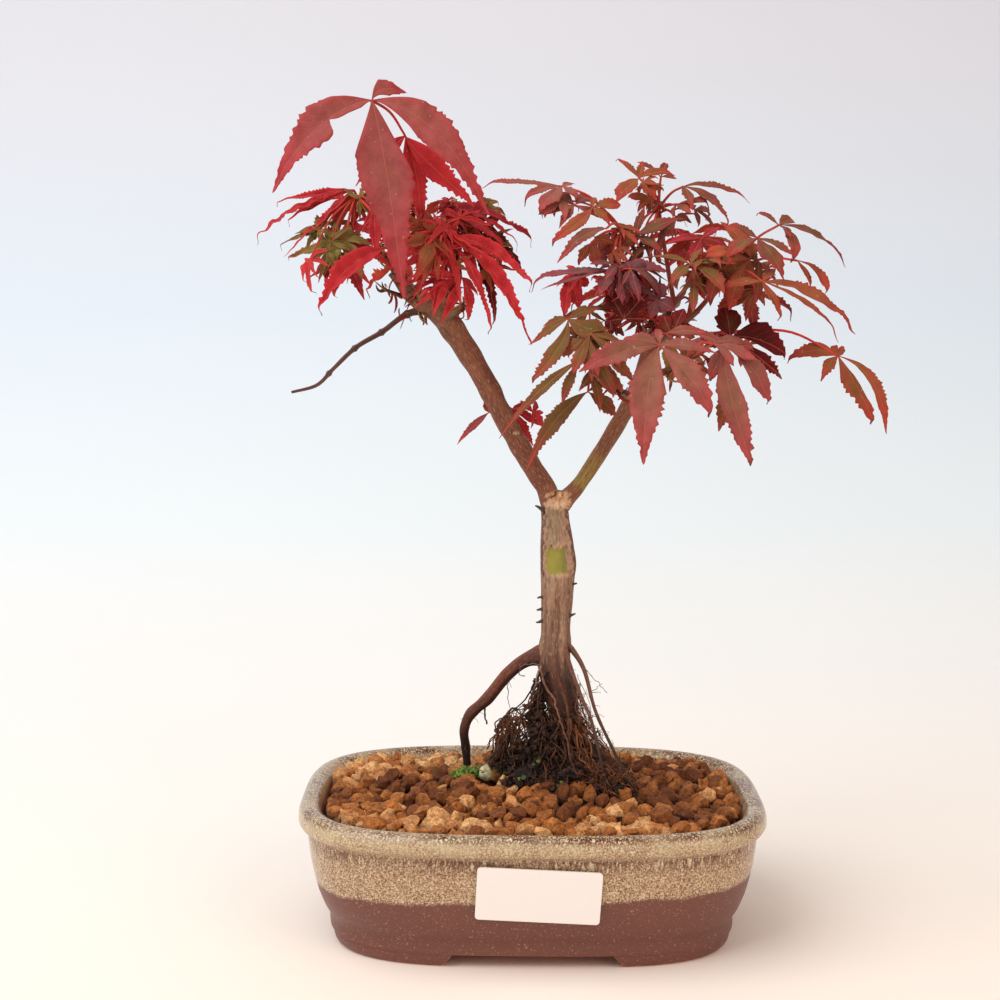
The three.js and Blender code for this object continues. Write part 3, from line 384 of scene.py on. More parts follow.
def foot(side_x, side_y):
    """One corner foot: at each height a strip between an outer and an inner arc of the oval,
    from one sloping gap to the other. The outside is rounded at its lower edge."""
    rings = []
    for outer, height in FOOT_RINGS:
        slope = 6 * (height + 1) / 7
        arcs = []
        for inset in (outer, 30 - slope / 2):
            gap_x = (FOOT_GAP_LENGTH / 2 - slope) / (POT_LENGTH / 2 - inset)
            gap_y = (FOOT_GAP_DEPTH / 2 - slope) / (POT_DEPTH / 2 - inset)
            turn = np.linspace(
                np.arcsin(gap_y ** (OVAL_POWER / 2)), np.arccos(gap_x ** (OVAL_POWER / 2)), 60
            )
            arcs.append(np.column_stack(oval(inset, turn)))
        ring = np.concatenate([arcs[0], arcs[1][::-1]]) * (side_x, side_y)
        ring = ring[::-1] if side_x * side_y < 0 else ring
        rings.append(np.column_stack([ring, np.full(len(ring), height)]))
    points, (walls, _, _) = loft(np.array(rings))
    k = np.arange(59)
    strip = np.stack([k, k + 1, 118 - k, 119 - k], -1)
    return points[:-2], [walls, strip[:, ::-1], strip + 120 * (len(rings) - 1)]


def stoneware():
    """Brown stoneware with a cream glaze poured over its upper part. The glaze has broken into
    fine cream and brown specks, with brown streaks where it ran thin off the lip and under the
    moulding. Below the glaze the body has a satin maroon slip with pale grains; bare clay
    shows terracotta where the feet were wiped."""
    material, add = new_material("speckled drip glaze on brown stoneware")
    place = millimetres(add)
    height = add("SeparateXYZ", place, out="Z")
    fine = add("TexNoise", place, 1 / 0.62, 2.0, 0.55)
    glaze = add("ValToRGB", fine, stops=[
        (0.33, "#623c2c"), (0.44, "#987052"), (0.54, "#bb9a78"), (0.66, "#e0ceac"),
    ])
    clouds = add("ValToRGB", add("TexNoise", place, 1 / 11, 3.0, 0.6), stops=[(0.35, 0.2), (0.65, 1.0)])
    milky = add("Math", clouds, add("MapRange", height, 43.0, 50.0, 0.1, 0.6), operation="MULTIPLY")
    glaze = add("Mix", milky, glaze, "#cfbf98", data_type="RGBA")
    under = add("MapRange", height, 37.5, 44.0)
    groove = add("MapRange", height, 45.6, 44.2)
    band = add("Math", under, groove, operation="MULTIPLY")
    band = add("Math", band, add("MapRange", height, 51.0, 52.6), operation="MAXIMUM")
    worn = add("ValToRGB", add("TexNoise", place, 1 / 19, 2.0, 0.6), stops=[(0.4, 0.45), (0.6, 1.0)])
    band = add("Math", band, worn, operation="MULTIPLY")
    streaks = add("TexNoise", millimetres(add, (1, 1, 0.22)), 1 / 1.45, 2.0, 0.6)
    for stops, colour in (
        ([(0.42, 0.0), (0.48, 1.0), (0.56, 1.0), (0.62, 0.0)], "#613620"),
        ([(0.6, 0.0), (0.68, 0.8)], "#e9dfba"),
    ):
        runs = add("Math", band, add("ValToRGB", streaks, stops=stops), operation="MULTIPLY")
        glaze = add("Mix", runs, glaze, colour, data_type="RGBA")
    tilt = add("Math", add("SeparateXYZ", place, out="X"), 0.03, operation="MULTIPLY")
    level = add("Math", add("Math", height, tilt, operation="SUBTRACT"), GLAZE_LINE, operation="SUBTRACT")
    edge_wave = add("TexNoise", millimetres(add, (1, 1, 0)), 1 / 9, 3.0, 0.6)
    level = add("Math", edge_wave, -4.0, level, operation="MULTIPLY_ADD")
    level = add("Math", fine, 2.5, level, operation="MULTIPLY_ADD")
    glazed = add("MapRange", level, -0.9, 0.5)
    slip = add("ValToRGB", add("TexNoise", place, 1 / 0.7, 1.0, 0.6), stops=[
        (0.0, "#6b3a2e"), (0.66, "#784537"), (0.74, "#bb9f8c"),
    ])
    dusk = add("Math", add("TexNoise", place, 1 / 22, 2.0, 0.6), 0.45, operation="MULTIPLY")
    slip = add("Mix", dusk, slip, "#5f332a", data_type="RGBA")
    body = add("Mix", glazed, slip, glaze, data_type="RGBA")
    inside = add("Attribute", out="Fac", attribute_name="tint")
    bare = add("Math", add("MapRange", height, 0.9, 0.4), inside, operation="MAXIMUM")
    colour = add("Mix", bare, body, "#a9603f", data_type="RGBA")
    rough = add("Mix", bare, add("MapRange", glazed, 0.0, 1.0, 0.42, 0.2), 0.85)
    show(add, (fine, 0.12, 0.5), Base_Color=colour, Roughness=rough)
    return material


def build_pot():
    """The wall with its lip, cut open at both drain holes, and four feet in one piece."""
    material = stoneware()
    points, faces = ring_stack(WALL, 256)
    pot = make_piece("pot_glazed", points, faces, material, ["pot"], "glazed_pot")
    holes = []
    for side in (-1, 1):
        path = np.array([[[side * DRAIN_SPACING / 2, 0, -1.0], [side * DRAIN_SPACING / 2, 0, 12.0]]])
        holes.append(make_piece("drain hole", *tubes(path, [[DRAIN_RADIUS] * 2], 48), material))
    cut_away(pot, holes)
    show_bare_clay(pot)
    feet = Heap()
    for side_x in (-1, 1):
        for side_y in (-1, 1):
            feet.put(*foot(side_x, side_y), (0, 0, 0))
    show_bare_clay(feet.piece("pot_feet", material, nodes=[], slot="glazed_pot"))


def show_bare_clay(piece):
    """Smooth shading with crisp edges, and a tint of 1 where the clay is bare: the inside below
    the lip, the underside and the sloping ends of the feet."""
    mesh = piece.data
    mesh.polygons.foreach_set("use_smooth", np.full(len(mesh.polygons), True))
    mesh.set_sharp_from_angle(angle=np.radians(38))
    co, facing = np.empty((2, len(mesh.vertices), 3))
    mesh.vertices.foreach_get("co", co.ravel())
    mesh.vertices.foreach_get("normal", facing.ravel())
    co = (co - POT_MIDDLE) / MM
    outward = (facing[:, :2] * unit(co[:, :2])).sum(axis=1)
    inside = (outward < -0.25) & (co[:, 2] < 51.0)
    under = (facing[:, 2] < -0.75) & (co[:, 2] < 5.4)
    under |= (outward < 0.35) & (co[:, 2] < 5.1)
    share = (inside | under).astype(float)
    if "tint" in mesh.attributes:
        mesh.attributes.remove(mesh.attributes["tint"])
    put_tint(mesh, np.column_stack([share] * 3))


# Soil


def mound(x, y):
    """Height of the soil: a low mound, highest round the roots."""
    return SOIL_EDGE + SOIL_CROWN * np.exp(-((x - 6) ** 2) / 4200 - ((y - 6) ** 2) / 1500)


def granule_clay():
    """Fired clay granules: matt, porous and crumbly, tan when dry and red-brown when damp. The
    tint is each granule's own colour; cloudy noise adds the dusty and damp patches on it."""
    material, add = new_material("fired clay granules")
    place = millimetres(add)
    patches = add("ValToRGB", add("TexNoise", place, 1 / 2.6, 4.0, 0.65), stops=[
        (0.3, 0.5), (0.52, 0.95), (0.7, 1.45),
    ])
    pits = add("TexNoise", place, 1 / 0.8, 3.0, 0.7)
    dark = add("ValToRGB", pits, stops=[(0.34, 0.35), (0.5, 1.0)])
    colour = add("Attribute", attribute_name="tint")
    for shade in (patches, dark):
        colour = add("Mix", 1.0, colour, shade, data_type="RGBA", blend_type="MULTIPLY")
    show(add, (pits, 0.7, 0.9), Base_Color=colour, Roughness=0.95)
    return material


def granules(places, sizes, seed, fineness=2, stretch=(0.7, 1.15)):
    """Angular stones. Each is a small sphere of 80 triangles, or 20 at fineness 1, whose corners
    are drawn in to the nearest of some random planes, so that it becomes a chipped block, then
    stretched, turned and moved to its place."""
    draw = np.random.default_rng(seed)
    ball = bmesh.new()
    bmesh.ops.create_icosphere(ball, subdivisions=fineness, radius=1)
    sphere = np.array([v.co for v in ball.verts])
    faces = np.array([[v.index for v in f.verts] for f in ball.faces])
    ball.free()
    k = len(places)
    planes = unit(draw.normal(size=(k, 8, 3)))
    facing = np.einsum("vc,kpc->kvp", sphere, planes)
    reach = draw.uniform(0.5, 0.95, (k, 1, 8)) / np.maximum(facing, 1e-3)
    reach = np.where(facing > 0.05, reach, 9.0).min(axis=2)
    reach = np.minimum(reach, 1.3) * draw.uniform(0.93, 1.07, reach.shape)
    shapes = sphere * reach[..., None] * draw.uniform(*stretch, (k, 1, 3)) * sizes[:, None, None]
    turned, _ = np.linalg.qr(draw.normal(size=(k, 3, 3)))
    turned[np.linalg.det(turned) < 0, :, 0] *= -1
    points = np.einsum("kvc,kcd->kvd", shapes, turned) + places[:, None]
    rows = faces[None] + (np.arange(k) * len(sphere))[:, None, None]
    return points, rows.reshape(-1, 3)


def inside_rim(x, y, inset):
    """Whether places lie inside the pot's outline, drawn in by the inset."""
    a, b = POT_LENGTH / 2 - inset, POT_DEPTH / 2 - inset
    return np.abs(x / a) ** OVAL_POWER + np.abs(y / b) ** OVAL_POWER < 1


def build_soil():
    """A dark bed that follows the mound, two layers of granules on it and a row that leans on
    the wall. The bed's dark colour is painted shade, as in the gaps between the granules. The
    granules are darkest to the left of the middle and palest at the back left and along the
    front, and each is painted darker on its lower part, as shade between the stones."""
    draw = np.random.default_rng(11)
    heap = Heap()

    # The bed, painted dark as the shade in the gaps between the granules
    turn = np.arange(96) / 96 * 2 * np.pi
    share = np.linspace(0, 1, 26)[1:, None]
    x, y = oval(10.2, turn)
    top = np.stack([share * x, share * y, mound(share * x, share * y) - 3.4], -1)
    low = np.stack([*oval(11.6, turn), np.full(96, 30.0)], -1)
    heap.put(*loft(np.concatenate([low[None], top[::-1]])), linear("#3a2014"))

    # Two layers of granules in staggered rows, then the row along the wall
    places, sizes = [], []
    for spacing, lift, small, large in ((6.4, -3.6, 3.5, 4.7), (6.3, -0.7, 2.5, 4.6)):
        columns, rows = np.meshgrid(np.arange(-17, 18), np.arange(-15, 16))
        x = (columns + (rows % 2) * 0.5) * spacing + draw.uniform(-1.7, 1.7, columns.shape)
        y = rows * spacing * 0.866 + draw.uniform(-1.7, 1.7, columns.shape)
        x, y = x.ravel(), y.ravel()
        size = draw.uniform(small, large, len(x)) * np.where(y < -36, 1.08, 1.0)
        keep = inside_rim(x, y, 13.2) & (np.hypot(x - CLEARING[0], y - CLEARING[1]) > CLEARING_RADIUS)
        z = mound(x, y) + lift + draw.uniform(-0.9, 1.1, len(x))
        places.append(np.column_stack([x, y, z])[keep])
        sizes.append(size[keep])
    turn = np.arange(86) / 86 * 2 * np.pi + draw.uniform(-0.02, 0.02, 86)
    x, y = oval(13.4, turn)
    z = SOIL_EDGE + draw.uniform(-1.6, 0.9, 86) + 0.9 * np.abs(x) / 80
    places.append(np.column_stack([x, y, z]))
    sizes.append(draw.uniform(2.7, 3.8, 86))
    buried = len(sizes[0])
    places, sizes = np.concatenate(places), np.concatenate(sizes)

    # Their colours, by how damp or how pale each place is
    damp = step(-0.2, 0.7, ripples(places[:, :2], 46, 5) + 0.5 * bell((places[:, 0] + 38) / 26))
    pale = 0.65 * step(-28, -46, places[:, 1]) * step(60, 25, places[:, 0])
    pale += 1.0 * step(6, 30, places[:, 1]) * step(0, -38, places[:, 0])
    mood = np.clip(draw.normal(0.45, 0.22, len(places)) + 0.5 * pale - 0.3 * damp, 0, 1)
    colours = blend("#6c3815", "#b06a30", step(0.0, 0.55, mood))
    colours = blend(colours, "#e0aa70", step(0.5, 0.95, mood))
    for part, fineness in ((slice(buried), 1), (slice(buried, None), 2)):
        points, faces = granules(places[part], sizes[part], 12, fineness)
        # Painted shade: each stone is darker on its lower part, as in the gaps between stones
        low = (points[..., 2] - places[part, None, 2]) / sizes[part, None]
        shaded = colours[part, None] * (0.34 + 0.84 * step(-0.6, 0.5, low))[..., None]
        heap.put(points.reshape(-1, 3), [faces], shaded.reshape(-1, 3))
    heap.piece("soil_granules", granule_clay(), nodes=["soil"], slot="clay_granules", smooth=False)


# Trunk, branches and roots

# Points down the middle of each limb and its radii along it, as in the frame
LIMBS = {
    "bole": (
        [(17, 0, 50), (15.6, 4, 72), (11.4, 6, 90), (8.7, 6, 104), (9, 6, 117), (9.5, 6, 134),
         (9.2, 6, 150), (8.2, 6, 164), (7.8, 6, 169.4), (7.8, 6, 172)],
        [2.2, 3.2, 4.2, 6.6, 5.7, 5.5, 6.3, 7, 6, 3],
    ),
    "left_branch": (
        [(8, 6, 163), (4.5, 6, 173), (-0.5, 5, 181), (-9.5, 4, 196), (-19.5, 2, 215),
         (-30.5, 1, 233), (-38, 0, 242), (-48, -1, 249), (-55, -2, 257)],
        [3.4, 3.9, 3.9, 4.1, 4.2, 4.2, 4.9, 3.4, 2],
    ),
    "right_branch": (
        [(8.5, 6, 164), (16.8, 6, 173.5), (24.6, 6, 185.5), (34, 6, 201), (39, 5, 211),
         (44, 4, 227), (47, 3, 240)],
        [3.2, 2.9, 3, 3.2, 3, 2.6, 1.8],
    ),
    "thick_root": (
        [(9, 6, 108), (-2.5, 7, 104), (-9.5, 9, 98), (-17.8, 12, 87), (-25, 14, 79.5),
         (-27.3, 15, 73), (-26.6, 17, 65), (-25.7, 19, 52)],
        [4.2, 2.9, 2.5, 2.5, 2.3, 1.9, 1.7, 1.5],
    ),
    "right_root": (
        [(12, 4.5, 113), (16.3, 4, 108), (20.2, 3, 101.5), (24.7, -2, 86), (31, -8, 73), (41, -15, 54)],
        [1.15, 0.7, 0.62, 0.5],
    ),
    "front_root": (
        [(11, 2, 115), (13.8, 0.5, 105.8), (19, -3.5, 92), (23, -8, 83), (27, -14, 66), (29, -16, 54)],
        [1.15, 0.7, 0.62, 0.5],
    ),
}

# Twigs and cut stubs of the two crowns, and the bare dead twig
TWIGS = {
    "crown_stub_up": ([(-36, 0, 241), (-33, -1, 248), (-31, -2, 255)], [2.8, 2.2, 1.3]),
    "crown_stub_front": ([(-35, -3, 240), (-31, -4.5, 242), (-27.5, -5.5, 244)], [2.4, 1.8, 1.4]),
    "crown_stub_back": ([(-37, 2, 241), (-36, 8, 247), (-34, 11, 251)], [2.6, 1.8, 1.2]),
    "crown_stub_left": ([(-44, -3, 246), (-44.5, -6, 249), (-45, -8, 252)], [1.8, 1.4, 1.1]),
    "dark_side_twig": ([(-43, 0, 243), (-48, -2, 246), (-52, -3, 248), (-57, -4, 250)], [0.9, 0.6, 0.5, 0.4]),
    "dead_twig": (
        [(-41, 0, 243), (-50, -1, 240.5), (-59, -2, 234), (-69, -3, 228), (-78, -2, 219.5),
         (-84, -2, 213.5), (-94, -2, 210.5)],
        [2, 1.1, 1, 0.9, 0.8, 0.7, 0.55],
    ),
    "twig_a": ([(44, 4, 226), (46, 1, 235), (44, -2, 247)], [1.9, 1.5, 1.1]),
    "twig_b": ([(45, 4, 230), (54, 1, 236), (62, -2, 243)], [1.9, 1.5, 1.1]),
    "twig_c": ([(45, 4, 232), (52, 9, 243), (58, 13, 250)], [1.8, 1.4, 1.1]),
    "twig_d": ([(43, 4, 222), (44, 11, 230), (43, 19, 236)], [1.8, 1.4, 1.1]),
    "twig_e": ([(42, 4, 216), (52, 0, 220), (60, -4, 222)], [1.8, 1.4, 1.1]),
    "twig_f": ([(38, 5, 208), (34, -2, 211), (31, -6, 213)], [1.7, 1.3, 1.0]),
}

# Short dead stubs on the bole: where each starts under the bark and the way that it points
STUBS = [
    ((5.4, 4.2, 129.5), (-1, -0.3, 0.05)),
    ((5.2, 4.2, 124.5), (-1, -0.2, 0.2)),
    ((5, 4.2, 120.5), (-1, -0.3, 0)),
    ((13.4, 4.2, 136), (1, -0.4, 0)),
    ((13, 4.2, 123), (1, -0.4, 0.1)),
    ((4, 3.6, 165), (-1, -0.4, 0.3)),
]


def bark():
    """Maple bark: smooth and satin, its colour given by the tint. Its fibres run along the limb
    (the pattern's second axis): fine dark creases, and short pale corky dashes between them.
    They fade out where the tint isn't redder than it is green, on the living green wood."""
    material, add = new_material("striated maple bark")
    tint = add("Attribute", attribute_name="tint")
    grain = add("UVMap", uv_map="pattern")
    fibres = add("VectorMath", grain, (1.0, 0.07, 1.0), operation="MULTIPLY")
    lines = add("TexNoise", fibres, 1 / 0.36, 3.0, 0.6)
    cork = add("VectorMath", grain, (1.0, 0.13, 1.0), operation="MULTIPLY")
    dashes = add("TexNoise", cork, 1 / 0.34, 1.0, 0.5)
    red, green = (add("SeparateColor", tint, out=name) for name in ("Red", "Green"))
    redder = add("Math", red, green, operation="SUBTRACT")
    corky = add("MapRange", redder, 0.03, 0.13, 0.1, 1.0)
    pale = add("ValToRGB", dashes, stops=[(0.57, 0.0), (0.65, 1.0)])
    pale = add("Math", pale, corky, operation="MULTIPLY")
    crease = add("ValToRGB", lines, stops=[(0.34, 0.5), (0.5, 1.04)])
    crease = add("Mix", corky, "#ffffff", crease, data_type="RGBA")
    blotch = add("TexNoise", millimetres(add), 1 / 6, 3.0, 0.6)
    blotch = add("ValToRGB", blotch, stops=[(0.3, 0.86), (0.7, 1.1)])
    colour = tint
    for shade in (blotch, crease):
        colour = add("Mix", 1.0, colour, shade, data_type="RGBA", blend_type="MULTIPLY")
    light = add("Mix", 0.55, tint, "#dcb892", data_type="RGBA")
    colour = add("Mix", add("Math", pale, 0.5, operation="MULTIPLY"), colour, light, data_type="RGBA")
    relief = add("Math", pale, 0.3, lines, operation="MULTIPLY_ADD")
    show(add, (relief, 0.3, 0.8), Base_Color=colour, Roughness=0.68)
    return material


def limb_rings(points, radii, sides, pitch):
    """The middle line, spokes and radii of a limb with rings about `pitch` mm apart."""
    count = int(np.ceil(np.linalg.norm(np.diff(np.array(points, float), axis=0), axis=1).sum() / pitch))
    path = smooth_path(points, max(count, 6))
    share = np.linspace(0, 1, len(path))
    radius = np.interp(share, np.linspace(0, 1, len(radii)), radii)
    window = max(len(path) // 14, 1)
    padded = np.pad(radius, window, mode="edge")
    radius = np.convolve(padded, np.ones(2 * window + 1) / (2 * window + 1), "valid")
    _, across, upward = tube_frames(path[None])
    turn = np.arange(sides) / sides * 2 * np.pi
    spokes = np.cos(turn)[:, None] * across[0][:, None] + np.sin(turn)[:, None] * upward[0][:, None]
    return path, spokes, np.repeat(radius[:, None], sides, axis=1)


def fillet(points, others, reach):
    """How far a point is pushed out so that limbs run into each other: most where it lies on
    the skin of another limb, nothing at `reach` mm from it."""
    centres, radii = others
    nearest = np.full(len(points), 1e9)
    for start in range(0, len(points), 4000):
        block = points[start : start + 4000]
        gap = np.linalg.norm(block[:, None] - centres[None], axis=2) - radii[None]
        nearest[start : start + 4000] = gap.min(axis=1)
    return reach / 4 * np.clip(1 - np.abs(nearest) / reach, 0, 1) ** 2


# Heights on the bole in mm: where its wound fades in and out, the middles of its burl and of the
# dark eye in the wound, and where the wet foot begins and is fully dark
WOUND_FOOT = (137.8, 139.6)
WOUND_TOP = (174.5, 172.0)
BURL_HEIGHT = 143.0
EYE_HEIGHT = 151.2
WET_FOOT = (113.0, 97.0)


def bole_relief(path, spokes, radius):
    """Relief of the bole: a long wound on the front with a lip down each side, ridged bark
    below it and buttresses above the roots. Returns the radii and the tint. facing is the turn
    from the front in radians, to the right where it is above 0."""
    facing = np.arctan2(spokes[..., 0], -spokes[..., 1])
    height = np.repeat(path[:, 2:3], spokes.shape[1], axis=1)
    grain = np.concatenate([spokes * 6, height[..., None] * 0.12], -1)
    rough = ripples(grain, 3.0, 21)
    fine = ripples(grain, 1.4, 22)

    # The wound: a flat strip whose edges wander, between two lips with a groove outside each
    wound = step(*WOUND_FOOT, height) * step(*WOUND_TOP, height)
    wander = 0.12 * ripples(height[..., None], 9, 23) + 0.07 * ripples(height[..., None], 3.4, 27)
    edge = 0.68 + 0.09 * ripples(np.stack([np.sign(facing) * 3, height], -1), 4.5, 28)
    edge = edge + 0.14 * bell((height - 144.5) / 6)
    flat = wound * step(edge + 0.07, edge - 0.07, np.abs(facing - 0.02 + wander))
    past_edge = np.abs(facing + wander) - edge
    lips = wound * bell((past_edge - 0.13) / 0.11)
    groove = wound * bell((past_edge - 0.34) / 0.08)

    # Relief: bark ridges, rougher below the wound, its sunken face, the burl and the buttresses
    below = step(139.4, 136.5, height)
    radius = radius + (0.28 * rough + 0.14 * fine) * (0.35 + 0.65 * below)
    radius = radius - 0.8 * flat + 0.5 * lips * (0.8 + 0.4 * rough) - 0.7 * groove
    radius = radius + 0.8 * bell((height - BURL_HEIGHT) / 5) * step(0.3, 0.95, np.sin(facing))
    buttress = step(118, 100, height) * step(78, 92, height)
    radius = radius + buttress * 0.7 * np.sin(4 * facing + 0.6)

    # Bark: brown, paler in front higher up, darker and wet towards the foot
    behind = step(1.1, 2.1, np.abs(facing))
    colour = blend("#7c5440", "#a07c62", step(-0.6, 0.9, rough))
    colour = blend(colour, "#b08e72", 0.5 * step(128, 140, height) * (1 - behind))
    dark = blend("#5e3424", "#3a2018", step(-0.3, 0.7, ripples(grain, 2.2, 38)))
    colour = blend(colour, dark, step(*WET_FOOT, height + 3 * ripples(grain, 4, 39)))
    colour = blend(colour, "#2a1813", step(90, 76, height))

    # Old dry wood in the wound, tan with grey-green patches
    old = blend("#957a5c", "#a98570", step(-0.4, 0.8, ripples(grain, 5, 24)))
    old = blend(old, "#8f8a56", 0.6 * step(-0.3, 0.6, ripples(grain, 8, 25)) * step(168, 160, height))
    colour = blend(colour, old, flat)

    # A patch of living green wood low in the wound, with torn pale wood above and below it
    shape = np.stack([facing * 6, 0.4 * height], -1)
    top = 149.9 + 1.1 * ripples(shape, 4, 26) + 0.8 * ripples(shape, 1.8, 29)
    low = 139.3 + 0.9 * np.abs(np.sin(3.2 * facing + 0.6)) + 0.5 * ripples(shape, 1.8, 33)
    green = flat * step(top + 0.3, top - 0.3, height) * step(low - 0.3, low + 0.3, height)
    green = green * step(0.78, 0.7, np.abs(facing + 0.12 + 0.12 * ripples(shape, 2.4, 34)))
    torn = flat * (bell((height - top - 0.9) / 0.9) + bell((height - low + 0.8) / 0.8))
    colour = blend(colour, "#bd9474", np.clip(torn, 0, 1))
    radius = radius - 0.35 * green + 0.2 * torn
    # Painted shade: the green wood is darker on its right side, away from the lamp
    green_wood_and_painted_shade = blend("#969036", "#868435", step(-0.3, 0.6, facing))
    green_wood_and_painted_shade = blend(green_wood_and_painted_shade, "#a59a46", 0.3 * step(0, 0.8, ripples(grain, 3, 35)))
    colour = blend(colour, green_wood_and_painted_shade, green)

    # A dark eye, pale lips, grooves painted dark as shade, and a redder side and back beside the wound
    eye = bell((facing + 0.4) / 0.2, (height - EYE_HEIGHT) / 1.1)
    radius = radius + 0.5 * eye
    colour = blend(colour, "#5a3a26", np.clip(2.4 * eye - 1.3, 0, 1))
    colour = blend(colour, "#b38a70", 0.9 * np.clip(lips, 0, 1))
    # Painted shade in the grooves outside the lips
    colour = blend(colour, "#3e2019", np.clip(groove * 1.3, 0, 1))
    ragged = step(112, 158, height + 9 * ripples(grain, 5, 40)) * step(*WOUND_TOP, height)
    side = wound * (1 - behind) + ragged * behind
    side = side * step(edge + 0.38, edge + 0.48, np.abs(facing))
    return radius, blend(colour, "#7a4c3e", side)


def cut_wood(rings, colour):
    """Where limbs were cut off: the torn pale wood in the crotch of the fork with a cleft painted
    dark as shade and a paler rim, and a small oval scar on the left branch. Returns each
    point's tint and how deep it is pressed in, in mm."""
    x, y, z = np.moveaxis(rings, -1, 0)
    jagged = ripples(rings, 2.6, 36)
    front = step(6.5, 3.5, y)
    torn = step(5.1, 4.5, np.abs(x - 9.3) + 0.8 * jagged) * step(165.4, 166.4, z + 1.1 * jagged)
    torn = torn * step(173.4, 172.6, z + 0.35 * np.abs(x - 9.6)) * front
    wood = blend("#d8a880", "#b5835a", step(-0.3, 0.6, ripples(rings * (1, 1, 0.4), 1.8, 37)))
    colour = blend(colour, wood, torn)
    rim = torn * bell((z + 1.1 * jagged - 166.9) / 0.7)
    colour = blend(colour, "#e6c3a0", 0.8 * rim)
    # Painted shade: the cleft is pressed in and coloured dark
    cleft = bell((x - 7.0) / 1.7, z - 170.4 - 0.3 * (x - 7.0) - 0.7 * jagged) * front
    cleft = cleft * (1 + 0.9 * jagged)
    colour = blend(colour, "#3d2819", np.clip(1.7 * cleft - 0.4, 0, 0.92))

    # The scar: a dark oval rim round a cut face, darker in its upper part
    oval_scar = ((x + 7.4) / 1.6) ** 2 + ((z - 195.4) / 0.8) ** 2
    oval_scar = np.where(y < 3.0, oval_scar, 9.0)
    colour = blend(colour, "#5c3626", step(1.9, 1.4, oval_scar))
    cut_face = blend("#9a6f48", "#e2c096", step(195.5, 195.0, z))
    colour = blend(colour, cut_face, step(1.1, 0.8, oval_scar))
    return colour, 0.9 * np.clip(cleft, 0, 1) + 0.3 * torn * (0.5 + 0.5 * jagged)


def branch_tint(name, path, spokes):
    """Tint of the other limbs by place: red-brown branches, an olive patch low on the right
    one, and dark wet roots. The undersides of the left branch and the thick root are painted
    darker, as shade."""
    height = np.repeat(path[:, 2:3], spokes.shape[1], axis=1)
    grain = np.concatenate([spokes * 4, height[..., None] * 0.15], -1)
    patches = ripples(grain, 5, 31)
    # How much the skin faces down, where the left branch gets painted shade
    under = step(0.1, 0.9, -spokes[..., 2])
    if name == "left_branch":
        colour = blend("#7c4129", "#8c5136", step(-0.4, 0.8, patches))
        colour = blend(colour, "#8b6248", step(228, 246, height) * 0.7)
        return blend(colour, "#6a3626", 0.6 * under)
    if name == "right_branch":
        colour = blend("#7d4529", "#8d5434", step(-0.4, 0.8, patches))
        mottled = ripples(grain, 1.6, 32)
        low = step(173.6, 174.6, height + 0.8 * mottled) * step(190, 180, height)
        low = low * (0.35 + 0.65 * step(-0.5, 0.1, mottled))
        colour = blend(colour, "#937a34", low)
        return blend(colour, "#6a6a58", 0.5 * step(0.3, 0.9, spokes[..., 0]) * step(185, 195, height))
    if name == "thick_root":
        colour = blend("#7c3a22", "#582819", step(-0.3, 0.8, patches))
        # Painted shade: the thick root is nearly black on its underside
        colour = blend(colour, "#1e0f0c", 0.9 * step(-0.1, 0.75, -spokes[..., 2]))
        return blend(colour, "#1e110d", step(82, 66, height))
    if name in ("right_root", "front_root"):
        return blend("#784a38", "#32201a", step(98, 64, height))
    if name == "dead_twig":
        return blend("#7a463a", "#4a2c24", step(-0.2, 0.6, patches))
    if name == "dark_side_twig":
        return np.broadcast_to(linear("#38241c"), spokes.shape).copy()
    if name.startswith("crown"):
        return blend("#8d6b4a", "#6a4a34", step(-0.4, 0.6, patches))
    return blend("#8a4a3a", "#7a5a3a", step(-0.2, 0.8, patches))


